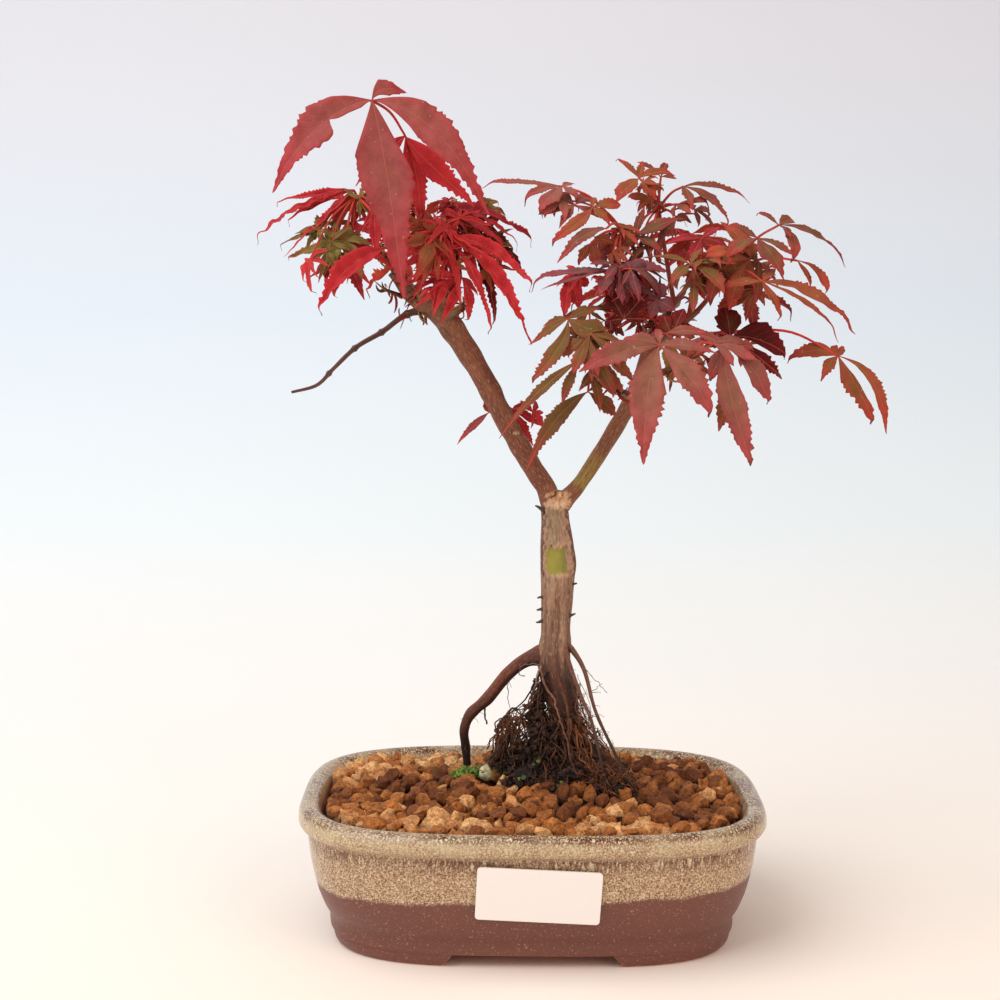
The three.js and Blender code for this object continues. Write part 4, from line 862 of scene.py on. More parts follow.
def build_trunk():
    """All limbs, twigs and stubs as tubes in one piece, blended where they meet by moving their
    skins outwards, with their relief and tint."""
    every = {**LIMBS, **TWIGS}
    lines = {name: smooth_path(points, 90) for name, (points, _) in every.items()}
    widths = {
        name: np.interp(np.linspace(0, 1, 90), np.linspace(0, 1, len(radii)), radii)
        for name, (_, radii) in every.items()
    }
    heap = Heap()
    for name, (points, radii) in every.items():
        # Thick limbs get finer rings and a wider blend
        big = max(radii) > 2.4
        sides = 72 if name == "bole" else 40 if name in LIMBS else 16
        path, spokes, radius = limb_rings(points, radii, sides, 0.55 if big else 0.8)
        along = np.linspace(0, np.linalg.norm(np.diff(path, axis=0), axis=1).sum(), len(path))
        if name == "bole":
            radius, colour = bole_relief(path, spokes, radius)
        else:
            height = np.repeat(path[:, None, 2:3], sides, axis=1)
            grain = np.concatenate([spokes * radius.max(), 0.2 * height], -1)
            knobs = ripples(np.repeat(along[:, None, None], sides, axis=1), 11, len(name))
            if name == "dead_twig":
                knots = bell((along[:, None] - (9, 21, 33, 47)) / 0.8).sum(axis=1)
                radius = radius + 0.5 * knots[:, None]
            radius = radius * (1 + 0.035 * ripples(grain, 3.5, 30) + 0.04 * knobs)
            colour = branch_tint(name, path, spokes)

        # Skins swell where limbs meet, smoothed along the limb
        rings = path[:, None] + radius[..., None] * spokes
        others = [other for other in every if other != name]
        near = [np.concatenate([table[other] for other in others]) for table in (lines, widths)]
        push = fillet(rings.reshape(-1, 3), near, 4.0 if big else 2.0).reshape(radius.shape)
        push = np.pad(push, ((4, 4), (0, 0)), mode="edge")
        push = np.apply_along_axis(np.convolve, 0, push, np.ones(9) / 9, "valid")
        colour, pressed = cut_wood(rings, colour)
        surface, faces = tubes(path[None], (radius + push - pressed)[None], sides)

        # The pattern's place: round the limb, mirrored so that it has no seam, and along it
        turn = np.broadcast_to(np.linspace(0, 2 * np.pi, sides, endpoint=False), radius.shape)
        fold = np.abs(turn - np.pi) * radii[0] * 1.2
        pattern = np.stack([fold, np.broadcast_to(along[:, None], radius.shape)], -1).reshape(-1, 2)
        colour = colour.reshape(-1, 3)
        colour = np.concatenate([colour, colour[[0, -1]]])
        heap.put(surface, faces, colour, np.concatenate([pattern, pattern[[0, -1]]]))
    for k, (place, way) in enumerate(STUBS):
        path = np.array(place) + unit(np.array(way)) * np.linspace(0, 4.0, 8)[:, None]
        path[:, 2] += 0.5 * np.sin(np.linspace(0, 3, 8) + k)
        surface, faces = tubes(path[None], np.linspace(1.05, 0.28, 8)[None], 10)
        heap.put(surface, faces, linear("#4a4038"))
    heap.piece("trunk_bark", bark(), nodes=["trunk"], slot="bark")


def root_fibre():
    """Root fibres and old peat: matt, nearly black where wet, orange-brown where bare."""
    material, add = new_material("fibrous roots and peat")
    cloud = add("TexNoise", millimetres(add), 1 / 1.6, 4.0, 0.7)
    shade = add("ValToRGB", cloud, stops=[(0.3, 0.45), (0.5, 0.95), (0.72, 1.5)])
    tint = add("Attribute", attribute_name="tint")
    colour = add("Mix", 1.0, tint, shade, data_type="RGBA", blend_type="MULTIPLY")
    show(add, (cloud, 0.8, 0.9), Base_Color=colour, Roughness=0.85)
    return material


def wandering(start, end, count, sag, wander, draw):
    """k paths from start to end that sag by a parabola and wander by slow random waves which
    fade out at the start."""
    k = len(start)
    t = np.linspace(0, 1, count)[None, :, None]
    straight = start[:, None] + (end - start)[:, None] * t
    straight[..., 2] -= sag[:, None] * (4 * t * (1 - t))[..., 0]
    waves = np.zeros_like(straight)
    for turns in (1.0, 2.3, 4.1):
        phase = draw.uniform(0, 2 * np.pi, (k, 1, 3))
        waves += np.sin(2 * np.pi * turns * t + phase) * draw.normal(size=(k, 1, 3)) / turns**0.8
    return straight + waves * wander * np.sqrt(t) * (1.15 - t)


# Rings of the peat: height, reach
PEAT_RINGS = [(49, 16), (54, 23), (58, 25), (62, 22), (67, 15), (72, 10.5), (78, 7), (84, 4)]

# Heaps of crumbs round it: their middle, spread and number
CRUMBS = [
    ((3.5, 3.5, 91), (1.9, 1.4, 3.4), 60),
    ((0.5, 3, 82), (2.2, 2, 3), 40),
    ((-8, 1, 64.5), (5, 3, 2.0), 70),
    ((-1, -3, 70), (4.6, 3, 3.4), 60),
    ((6, -1, 75), (4.2, 2.5, 3.4), 90),
    ((32, -13, 58), (4.5, 2.2, 1.6), 60),
    ((19, -9, 63.5), (4, 2.4, 2.6), 50),
    ((-3, -7, 60.2), (4.6, 2.4, 1.5), 50),
]

# Roots that stand out: their course, radius and colour
SINGLE_ROOTS = [
    ([(3, 0, 101.6), (5.5, -2, 94.4), (8.6, -4.2, 90.4), (10.4, -7, 83.5), (13.5, -9.6, 75.7),
      (14.4, -11.4, 69.8), (17.7, -14, 62)], 0.4, "#84563f"),
    ([(9.5, -0.2, 100), (12.4, -2.6, 92), (13.9, -5, 84.2), (14.3, -8, 76), (16, -10, 68)], 0.5, "#6a3c2a"),
    ([(4, 1.5, 103), (-1, 0, 104), (-4.6, 0, 102.6), (-5.2, 0, 100), (-3, 0, 99)], 0.22, "#7c6256"),
    ([(3, 1.2, 103), (1.6, 0, 98), (0.8, -0.5, 93)], 0.34, "#a3806c"),
    ([(-18.9, 12, 85.4), (-18.8, 11, 81), (-18.1, 11, 76.5)], 0.42, "#241611"),
    ([(-9.6, 9, 95), (-9.8, 6, 89), (-8.4, 4, 83)], 0.14, "#4a3428"),
    ([(20.8, 3, 101), (25, 2, 97), (28, 2, 93.6), (29.8, 2, 92)], 0.13, "#4a3428"),
]


def put_strands(heap, start, ends, steps, thick, wander, bare, draw, sag=(0.0, 4.0), sides=5):
    """Strands that thin out along their way, dark where bare is 0 and orange-brown at 1."""
    k = len(start)
    paths = wandering(start, ends, steps, draw.uniform(*sag, k), wander, draw)
    radius = draw.uniform(*thick, (k, 1)) * np.linspace(1.15, 0.5, steps)
    points, faces = tubes(paths, radius, sides)
    colours = blend("#1d110c", "#a3633c", np.clip(bare, 0, 1))
    heap.put(points, faces, tube_tints(colours, steps * sides))


def peat_shell(count, low, high, draw):
    """Places on the peat between two heights, most of them low, and the turn of each."""
    turns = draw.uniform(0, 2 * np.pi, count)
    height = low + (high - low) * draw.random(count) ** 1.4
    out = np.interp(height, *np.array(PEAT_RINGS, float).T) * draw.uniform(0.84, 1.08, count)
    return turns, np.column_stack([11.5 + out * np.cos(turns), 5 + 0.68 * out * np.sin(turns), height])


def build_peat(material, draw):
    """A low crumbly cone of old peat, strewn with crumbs that lie thickest where it is wide, and
    heaps of dark crumbs round it."""
    heights = np.linspace(49, 84, 36)
    reach = np.interp(heights, *np.array(PEAT_RINGS, float).T)
    turn = np.arange(72) / 72 * 2 * np.pi
    around = np.stack(np.broadcast_arrays(12 * np.cos(turn), 12 * np.sin(turn), heights[:, None]), -1)
    lumps = 1 + 0.2 * ripples(around, 9, 42) + 0.12 * ripples(around, 4, 43)
    x = 12 - (76 - heights[:, None]) * 0.06 + reach[:, None] * lumps * 0.9 * np.cos(turn)
    y = 5 + reach[:, None] * lumps * 0.58 * np.sin(turn)
    rings = np.stack([x, y, heights[:, None] + 1.2 * ripples(around, 5, 44)], -1)
    rings[1:-1] += draw.normal(0, 0.45, rings[1:-1].shape)
    heap = Heap()
    heap.put(*loft(rings), linear("#21140e"))
    surface = rings.reshape(-1, 3)
    weight = np.repeat(reach, 72) ** 1.6
    chosen = draw.choice(len(surface), 2600, p=weight / weight.sum())
    crumbs = [surface[chosen] + draw.normal(0, (1.0, 0.6, 0.7), (2600, 3))]
    for middle, spread, n in CRUMBS:
        crumbs.append(np.array(middle) + np.clip(draw.normal(size=(3 * n, 3)), -1.6, 1.6) * spread)
    crumbs = np.concatenate(crumbs)
    crumbs[:, 2] = np.maximum(crumbs[:, 2], mound(crumbs[:, 0], crumbs[:, 1]))
    sizes = 0.35 + 1.0 * draw.random(len(crumbs)) ** 2
    points, faces = granules(crumbs, sizes, 45, 1, (0.35, 1.6))
    colours = blend("#1c100b", "#5a3622", draw.random(len(crumbs)) ** 2)
    heap.put(points.reshape(-1, 3), [faces], np.repeat(colours, points.shape[1], axis=0))
    heap.piece("peat_crumbs", material, nodes=[], slot="roots_and_peat", smooth=False)


def build_root_ball():
    """The peat, coarse roots that stride from the foot of the bole to the soil, a dark wiry
    tangle to the left, a looser bundle of bare orange-brown strands to the right, and short
    hairs all round."""
    draw = np.random.default_rng(41)
    material = root_fibre()
    build_peat(material, draw)
    heap = Heap()

    # Coarse roots from the foot of the bole down to the soil
    turns = np.linspace(0, 2 * np.pi, 18, endpoint=False) + draw.normal(0, 0.12, 18)
    start = np.column_stack([14 + 3 * np.cos(turns), 5 + 3 * np.sin(turns), draw.uniform(74, 88, 18)])
    spread = draw.uniform(12, 24, 18)
    fx, fy = 11 + spread * 1.2 * np.cos(turns), 5 + spread * 0.74 * np.sin(turns)
    ends = np.column_stack([fx, fy, mound(fx, fy) - 1.5])
    bare = draw.normal(0.18 + 0.25 * (np.cos(turns) > 0), 0.12)
    put_strands(heap, start, ends, 30, (0.4, 0.9), 2.3, bare, draw, (2, 9), 8)

    # Bundles of strands that run from anywhere in one box to anywhere in another
    for count, first, last, thick, wander, pale in (
        (20, ((2, 0, 92), (7, 6, 103)), ((-19, -6, 60), (-4, 8, 74)), (0.14, 0.38), 3.4, 0.14),
        (60, ((13, -3, 70), (19, 3, 84)), ((22, -19, 55), (42, 2, 61)), (0.14, 0.42), 3.6, 0.45),
        (16, ((14, 0, 84), (19, 4, 100)), ((20, -10, 62), (34, 2, 70)), (0.1, 0.22), 2.2, 0.3),
        (30, ((4, -2, 70), (16, 1, 84)), ((-6, -17, 57), (24, -8, 61)), (0.14, 0.38), 3.8, 0.3),
        (44, ((2, 6, 72), (15, 10, 86)), ((-16, 8, 57), (32, 22, 60)), (0.16, 0.5), 3.2, 0.25),
    ):
        bare = draw.normal(pale, 0.22, count)
        start, ends = (draw.uniform(*box, (count, 3)) for box in (first, last))
        put_strands(heap, start, ends, 25, thick, wander, bare, draw)

    # Wiry fibres that cover the peat
    _, start = peat_shell(620, 52, 84, draw)
    ends = start + draw.normal(0, 4.2, start.shape)
    ends[:, 2] = np.maximum(ends[:, 2], mound(ends[:, 0], ends[:, 1]))
    put_strands(heap, start, ends, 12, (0.09, 0.28), 2.6, draw.normal(0.3, 0.3, 620), draw, (-2, 2), 3)

    # Loops at the left that arch up and come down again
    for count, first, last, steps, thick, wander, pale, sag, sides in (
        (26, ((-13, 5, 63), (2.4, 2, 2)), ((-3, 0, 70), (3, 2, 4)), 26, (0.2, 0.5), 2.6, 0.4, (-16, -6), 6),
        (16, ((-13, -3, 73), (3, 2, 2)), ((-8, -3, 74), (3, 2, 3)), 22, (0.14, 0.32), 1.6, 0.35, (-9, -2), 5),
    ):
        start, ends = (
            np.array(middle) + draw.normal(size=(count, 3)) * spread for middle, spread in (first, last)
        )
        bare = draw.normal(pale, 0.2, count)
        put_strands(heap, start, ends, steps, thick, wander, bare, draw, sag, sides)

    # A fine tangle at the right
    start = draw.uniform((22, -17, 57), (41, -6, 68), (190, 3))
    start[:, 2] -= 0.35 * np.maximum(start[:, 0] - 26, 0)
    ends = start + draw.normal(0, 4, (190, 3)) - (0, 0, 2)
    put_strands(heap, start, ends, 13, (0.1, 0.25), 2.2, draw.normal(0.6, 0.3, 190), draw, (-1, 3), 3)

    for course, radius, colour in SINGLE_ROOTS:
        course = smooth_path(course, 60)
        for axis in range(3):
            course[:, axis] += 0.3 * ripples(course, 3.0, 60 + axis)
        width = radius * np.linspace(1.1, 0.75, 60) * (1 + 0.18 * ripples(course, 2.4, 64))
        points, faces = tubes(course[None], width[None], 10)
        shades = blend(colour, linear(colour) * 0.35, step(0.35, 1, np.linspace(0, 1, 60)))
        heap.put(points, faces, ring_tints(shades, 10))

    # Short hairs on the peat and on the roots that carry the bole
    turns, start = peat_shell(300, 55, 90, draw)
    outward = np.column_stack([np.cos(turns), 0.68 * np.sin(turns), draw.uniform(-1.3, 0.6, 300)])
    ends = start + unit(outward) * draw.uniform(2, 6.5, (300, 1))
    put_strands(heap, start, ends, 9, (0.08, 0.2), 1.2, draw.normal(0.35, 0.25, 300), draw, (-0.8, 1.5), 3)
    carriers = ("right_root", "front_root", "thick_root")
    limbs = [smooth_path(LIMBS[name][0], 60)[12:50] for name in carriers]
    start = np.concatenate(limbs)[draw.integers(0, 38 * 3, 64)]
    ends = start + unit(draw.normal(size=(64, 3)) + (0.4, -0.3, -0.6)) * draw.uniform(2, 7, (64, 1))
    put_strands(heap, start, ends, 12, (0.07, 0.15), 1.0, draw.normal(0.3, 0.2, 64), draw, (-0.8, 1.5), 4)
    heap.piece("root_fibres", material, nodes=["root_ball"], slot="roots_and_peat")


def build_pebble():
    """A pale rounded stone, grey-green and mottled: rings of a ball, made uneven by ripples."""
    material, add = new_material("pale mottled pebble")
    cloud = add("TexNoise", millimetres(add), 1 / 1.5, 4.0, 0.6)
    colour = add("ValToRGB", cloud, stops=[(0.3, "#7f7d55"), (0.5, "#b9b184"), (0.7, "#e6dfc2")])
    show(add, (cloud, 0.3, 1.0), Base_Color=colour, Roughness=0.8)
    turn = np.arange(32) / 32 * 2 * np.pi
    lift = np.sin(np.linspace(-np.pi / 2, np.pi / 2, 20)[1:-1])
    path = np.array(PEBBLE_PLACE) + PEBBLE_RADIUS * np.outer(lift, (0, 0, 1))
    around = np.stack(np.broadcast_arrays(np.cos(turn), np.sin(turn), lift[:, None]), -1)
    radius = PEBBLE_RADIUS * np.sqrt(1 - lift**2)[:, None] * (1 + 0.08 * ripples(around, 1.5, 51))
    points, faces = tubes(path[None], radius[None], 32)
    make_piece("pebble_stone", points, faces, material, ["pebble"], "pebble")


def build_moss():
    """Moss and tiny weeds beside the thick root: short pointed shoots in tufts, each of one green
    between dark and bright, and a few round seed leaves on the damp peat."""
    material, add = new_material("moss and seedlings")
    show(add, Base_Color=add("Attribute", attribute_name="tint"), Roughness=0.7)
    draw = np.random.default_rng(61)
    heap = Heap()
    count = 420
    centres = np.array([(-25, 3), (-21, 5), (-30, 5), (-17, 7), (-26, 8), (-12.5, 4)])
    spreads = np.array([3.0, 2.6, 2.4, 2.2, 2.4, 1.5])
    which = draw.integers(0, len(centres), count)
    spot = centres[which] + draw.normal(size=(count, 2)) * spreads[which, None] * 0.62
    ground = mound(spot[:, 0], spot[:, 1]) + 1.5 + 0.8 * ripples(spot, 4, 62)
    start = np.column_stack([spot, ground])
    tips = start + np.column_stack([draw.normal(0, 1.2, (count, 2)), draw.uniform(0.5, 2.6, count)])
    paths = wandering(start, tips, 4, np.zeros(count), 0.25, draw)
    points, faces = tubes(paths, draw.uniform(0.34, 0.6, (count, 1)) * np.array([0.8, 1, 0.7, 0.12]), 4)
    colours = blend("#35501a", "#86a03a", draw.random(count))
    heap.put(points, faces, tube_tints(colours, 16))
    seedlings = [(0.5, -9.5, 66.0), (2.2, -10.2, 67.5), (-4.8, -11, 60.5), (-3.4, -12, 61.4),
                 (10.0, -12.5, 58.5), (11.5, -12, 59.5), (8, -13.5, 57.5)]
    for k, place in enumerate(seedlings):
        disc = np.array(place) + np.outer(np.linspace(-0.1, 0.1, 4), (0.3 * (k % 3 - 1), -0.6, 0.8))
        points, faces = tubes(disc[None], np.array([[0.9, 1.3, 1.3, 1.0]]) * (0.55 + 0.1 * (k % 4)), 12)
        heap.put(points, faces, blend("#2c4718", "#5c7c32", (k % 3) / 2))
    heap.piece("moss", material, nodes=[])


# Leaves

# How high a lobe arches as a share of its length, and how steeply its halves rise from the rib
ARCH = 0.07
KEEL = 0.16

BLADE_THICKNESS = 0.3

# The place on the pattern of stalks and curls, away from a blade's veins
OFF_THE_VEINS = (9.0, 0.0)

# Colours of a blade's upper side, its tips and edges, and its underside
HUES = {
    "rose": ("#9c4e4a", "#b43a42", "#a8543c"),
    "dusk": ("#925a4e", "#ab4446", "#a05a42"),
    "bronze": ("#744538", "#a13a36", "#8a4c38"),
    "scarlet": ("#b82c32", "#cf3a42", "#c24a34"),
    "crimson": ("#8e2830", "#b52c36", "#b0422e"),
    "maroon": ("#521615", "#76191c", "#8c3430"),
    "purple": ("#70464a", "#8f3a42", "#9a4434"),
    "olive": ("#70552f", "#9c4038", "#8f6f38"),
    "orange": ("#8e4c32", "#a8382f", "#b06a3c"),
    "green": ("#7a763a", "#90503a", "#99904a"),
}

# How green the middle of a blade is, at most
GREENING = {
    "rose": 0.1, "dusk": 0.3, "bronze": 0.5, "maroon": 0.25, "purple": 0.25, "olive": 0.5,
    "orange": 0.45, "green": 0.3,
}


def leaf_blade():
    """Thin maple blades. The tint gives the colour; the pattern holds the place across and along
    a lobe in mm. A fine paler rib runs up its middle and forked side veins leave it at a slant;
    between them the blade is slightly quilted and satin, with a few pale specks."""
    material, add = new_material("maple leaf blade")
    tint = add("Attribute", attribute_name="tint")
    pattern = add("UVMap", uv_map="pattern")
    across = add("Math", add("SeparateXYZ", pattern, out="X"), operation="ABSOLUTE")
    slant = add("Math", across, -1.15, add("SeparateXYZ", pattern, out="Y"), operation="MULTIPLY_ADD")
    turn = add("Math", add("Math", slant, 3.4, operation="DIVIDE"), operation="FRACT")
    away = add("Math", add("Math", turn, 0.5, operation="SUBTRACT"), operation="ABSOLUTE")
    vein = add("MapRange", away, 0.02, 0.075, 1.0, 0.0)
    rib = add("MapRange", across, 0.12, 0.28, 1.0, 0.0)
    place = millimetres(add)
    cloud = add("TexNoise", place, 1 / 5, 3.0, 0.6)
    shade = add("ValToRGB", cloud, stops=[(0.3, 0.82), (0.7, 1.16)])
    colour = add("Mix", 1.0, tint, shade, data_type="RGBA", blend_type="MULTIPLY")
    light = add("Mix", 0.5, tint, "#d4685a", data_type="RGBA")
    speck = add("ValToRGB", add("TexNoise", place, 1 / 0.9, 0.0, 0.6), stops=[(0.81, 0.0), (0.84, 1.0)])
    for mark, strength, mark_colour in ((vein, 0.2, light), (rib, 0.75, light), (speck, 0.3, "#d9b8a6")):
        share = add("Math", mark, strength, operation="MULTIPLY")
        colour = add("Mix", share, colour, mark_colour, data_type="RGBA")
    relief = add("Math", vein, -0.5, cloud, operation="MULTIPLY_ADD")
    relief = add("Math", relief, rib, operation="SUBTRACT")
    show(add, (relief, 0.25, 0.6), Base_Color=colour, Roughness=0.58, Specular_IOR_Level=0.09)
    return material


def lobe_width(t, peak):
    """Width of a lobe along its rib as a share of its widest, which lies at `peak`: t over the
    peak to the power 3.2 times the peak, times the rest over its own share to the power 3.2
    times that share, and a slender tail that ends bluntly."""
    body = (t / peak) ** (3.2 * peak) * ((1 - t) / (1 - peak)) ** (3.2 * (1 - peak))
    return body + 0.2 * step(0.6, 0.85, t) * (1 - t) ** 0.25


def lobes_in_turn(lobes, face):
    """The lobes in turn round the hub as seen from above the leaf, from the widest gap on."""
    east = unit(np.array([1.0, 0, 0]) - face * face[0])
    north = np.cross(face, east)
    tips = np.array([lobe[:3] for lobe in lobes], float)
    turn = np.arctan2(tips @ north, tips @ east)
    order = np.argsort(turn)
    gaps = turn[order] - np.roll(turn[order], 1)
    gaps[0] += 2 * np.pi
    return [lobes[i] for i in np.roll(order, -int(gaps.argmax()))]


def saw_edge(t, s, wide, width, pitch, phase):
    """How far one edge of a lobe lies from its rib: its smooth outline with a double saw edge,
    whose teeth point to the tip and fade out at both ends and where the blade is narrow."""
    uneven = 0.35 * np.sin(s / 2.7 + 9 * phase) + 0.2 * np.sin(s / 1.3 + 4 * phase)
    saw = (s / pitch + phase + uneven) % 1.0
    strength = step(0.2, 0.34, t) * step(1.0, 0.93, t) * min(0.35 + width / 12, 1.35)
    tooth = (saw**1.4 - 0.45) * 1.15 * strength * (0.8 + 0.4 * np.sin(s / 4.1 + 5 * phase))
    tooth = tooth + 0.3 * strength * ((2.4 * saw + 0.3) % 1.0 - 0.5)
    return np.maximum(wide * 1.02 + tooth * step(0.1, 1.7, wide), 0.16 * (1 - t) + 0.05)


def thin_solid(sheet, top, half, flip):
    """A closed solid from a grid of points: each is moved `half` along the sheet's normal for
    the upper side and back for the lower one, and a wall runs round them."""
    normal = unit(np.cross(np.gradient(sheet, axis=0), np.gradient(sheet, axis=1)))
    normal *= np.sign((normal * top).sum(-1, keepdims=True).mean())
    points = np.concatenate([(sheet + way * half).reshape(-1, 3) for way in (normal, -normal)])
    grid = np.arange(len(points) // 2).reshape(sheet.shape[:2])
    quad = np.stack([grid[:-1, :-1], grid[:-1, 1:], grid[1:, 1:], grid[1:, :-1]], -1).reshape(-1, 4)
    loop = np.concatenate([grid[0], grid[1:, -1], grid[-1, -2::-1], grid[-2:0:-1, 0]])
    after = np.roll(loop, -1)
    wall = np.stack([loop, loop + grid.size, after + grid.size, after], -1)
    faces = [quad, quad[:, ::-1] + grid.size, wall]
    return points, [f[:, ::-1] for f in faces] if flip else faces


def blade_tints(hue, sheet, t, share, dry, mood):
    """Tints of both sides of a lobe: a greenish middle on some leaves, redder towards the edges
    and the tip, brown at a dry tip, and as much lighter or darker above as the mood says."""
    mid, rim, under = HUES[hue]
    tipward = step(0.4, 1.0, t)[:, None] * 0.85
    cloud = step(-0.5, 0.7, ripples(sheet, 16.0, 81, 8)) * (1 - tipward) * (1 - share**2)
    green = blend(mid, "#67602c", GREENING.get(hue, 0.0) * cloud)
    paint = blend(green, rim, np.clip(tipward + share**3 * 0.5, 0, 1))
    burnt = step(0.9, 0.97, t)[:, None] * dry + 0 * share
    paint = blend(paint, "#2c1512", burnt) * (1 + mood)
    below = blend(under, rim, np.clip(tipward, 0, 1) + 0 * share)
    return np.concatenate([paint.reshape(-1, 3), blend(below, "#2c1512", burnt).reshape(-1, 3)])


def put_leaf(heap, leaf, draw, columns, crumple, peaks):
    """One leaf: each lobe is a thin closed sheet on a grid of rows along its rib. A point is the
    hub plus a share of the way to the tip, lifted by a low arch, moved aside by the bow (most
    at two fifths of the way), and raised towards the edges by the keel and by small waves and
    crumples. The teeth of its edges are 1.4 to 3.3 mm apart. Dry tips hook over. A sixth value
    of a lobe is the place of a bite, and the edge is gone from there to the hub. Neighbouring
    lobes meet on the line halfway between them."""
    hub, face, hue, lobes = leaf
    hub = np.array(hub, float)
    face = unit(np.array(face, float))
    lobes = lobes_in_turn(lobes, face)
    ribs = [np.array(lobe[:3], float) for lobe in lobes]
    lengths = [np.linalg.norm(rib) for rib in ribs]
    mood = draw.normal(0, 0.07)

    # How wide each side of a lobe may be for each mm from the hub, before it meets its neighbour
    rooms = [[1.0, 1.0] for _ in lobes]
    for i in range(len(lobes) - 1):
        cosine = ribs[i] @ ribs[i + 1] / lengths[i] / lengths[i + 1]
        room = 0.92 * np.tan(min(np.arccos(np.clip(cosine, -1, 1)) / 2, 1.25))
        rooms[i][1] = room
        rooms[i + 1][0] = room

    for lobe, rib, length, room in zip(lobes, ribs, lengths, rooms):
        width, bow = lobe[3], lobe[4]
        along = rib / length
        side = unit(np.cross(face, along))
        top = np.cross(along, side)
        pitch = 1.2 + 0.15 * min(width, 14.0)
        rows = int(np.clip(length / pitch * (3.9 if columns > 5 else 2.4), 14, 140))
        t = np.linspace(0.004, 1, rows) ** 0.97
        s = t * length
        wide = width / 2 * lobe_width(t, draw.uniform(*peaks))
        phase = draw.uniform(0, 1, 2)
        dry = draw.random() < 0.3 + 0.3 * crumple

        # The outline: t is the share of the way to the tip and s the way in mm
        edges = [
            np.minimum(saw_edge(t, s, wide, width, pitch, phase[k]), room[k] * s + 0.1)
            for k in (0, 1)
        ]
        if len(lobe) > 5:
            whole = width * (0.17 + step(lobe[5] - 0.01, lobe[5] + 0.03, t))
            edges[1] = np.minimum(edges[1], whole) * (1 - 0.75 * bell((t - lobe[5]) / 0.03))
        v = np.linspace(-1, 1, columns)
        across = np.where(v < 0, v * edges[0][:, None], v * edges[1][:, None])
        share = np.abs(v)[None, :]

        # The sheet in space
        hump = 4 * t * (1 - t)
        bowed = bow * 3.84 * t**0.8 * (1 - t) ** 1.2
        wave = 0.05 * width * np.sin(s[:, None] / 2.9 + 4 * phase[0] + 1.5 * v) * share**2 * hump[:, None]
        twist = draw.normal(0, 0.2 + 0.5 * crumple) * t[:, None]
        keel = KEEL + crumple * draw.uniform(0.1, 0.7)
        raised = ARCH * length * hump[:, None] + keel * np.abs(across) + wave + across * np.sin(twist)
        bend = draw.uniform(-0.04, 0.09) * length * step(0.8, 1, t)[:, None]
        curl = (3.2 * step(0.86, 1, t) ** 2)[:, None] * dry
        middle = hub + t[:, None, None] * rib * (1 - 0.05 * dry * step(0.9, 1, t)[:, None, None])
        sheet = middle + (bowed[:, None] + across)[..., None] * side
        sheet = sheet + (raised - bend - np.minimum(curl, 0.14 * length))[..., None] * top
        fold = crumple * min(0.5 + width / 9, 1.3) * step(0.0, 0.3, t)[:, None]
        sheet = sheet + (fold * ripples(sheet, 6.0, int(90 + 9 * phase[0]), 8))[..., None] * top

        # Its solid, tint and pattern
        half = 0.5 * BLADE_THICKNESS * (1 - 0.75 * t[:, None, None] ** 3)
        points, faces = thin_solid(sheet, top, half, np.cross(side, along) @ top < 0)
        tint = blade_tints(hue, sheet, t, share, dry, mood + draw.normal(0, 0.05))
        place = np.stack([across, s[:, None] + 20 * phase[1] + 0 * across], -1).reshape(-1, 2)
        heap.put(points, faces, tint, np.concatenate([place, place]))


def put_stalk(heap, start, end, radius, draw):
    """A red leaf stalk that rises in a low arc from the shoot to the hub."""
    colour = blend("#d4443c", "#b04c3a", draw.random())
    start, end = np.array(start, float), np.array(end, float)
    middle = start + (end - start) * 0.55
    middle[2] += 0.12 * np.linalg.norm(end - start)
    path = smooth_path([start, middle, end], 14)
    points, faces = tubes(path[None], [np.linspace(radius * 1.15, radius * 0.85, 14)], 8)
    heap.put(points, faces, colour, OFF_THE_VEINS)


# How many smaller leaves fill each spray between the leaves above
INNER_LEAVES = {
    "spray_left_top": 0,
    "spray_left_outer": 13,
    "spray_left_front": 17,
    "spray_left_inner": 17,
    "spray_left_back": 8,
    "spray_right_front": 5,
    "spray_right_low": 7,
    "spray_right_west": 8,
    "spray_right_fall": 9,
    "spray_right_top": 11,
    "spray_right_outer": 11,
    "spray_right_far": 2,
    "spray_right_centre": 11,
    "spray_right_middle": 14,
    "spray_right_back_low": 6,
    "spray_right_back_high": 6,
    "spray_stem_shoot": 1,
}


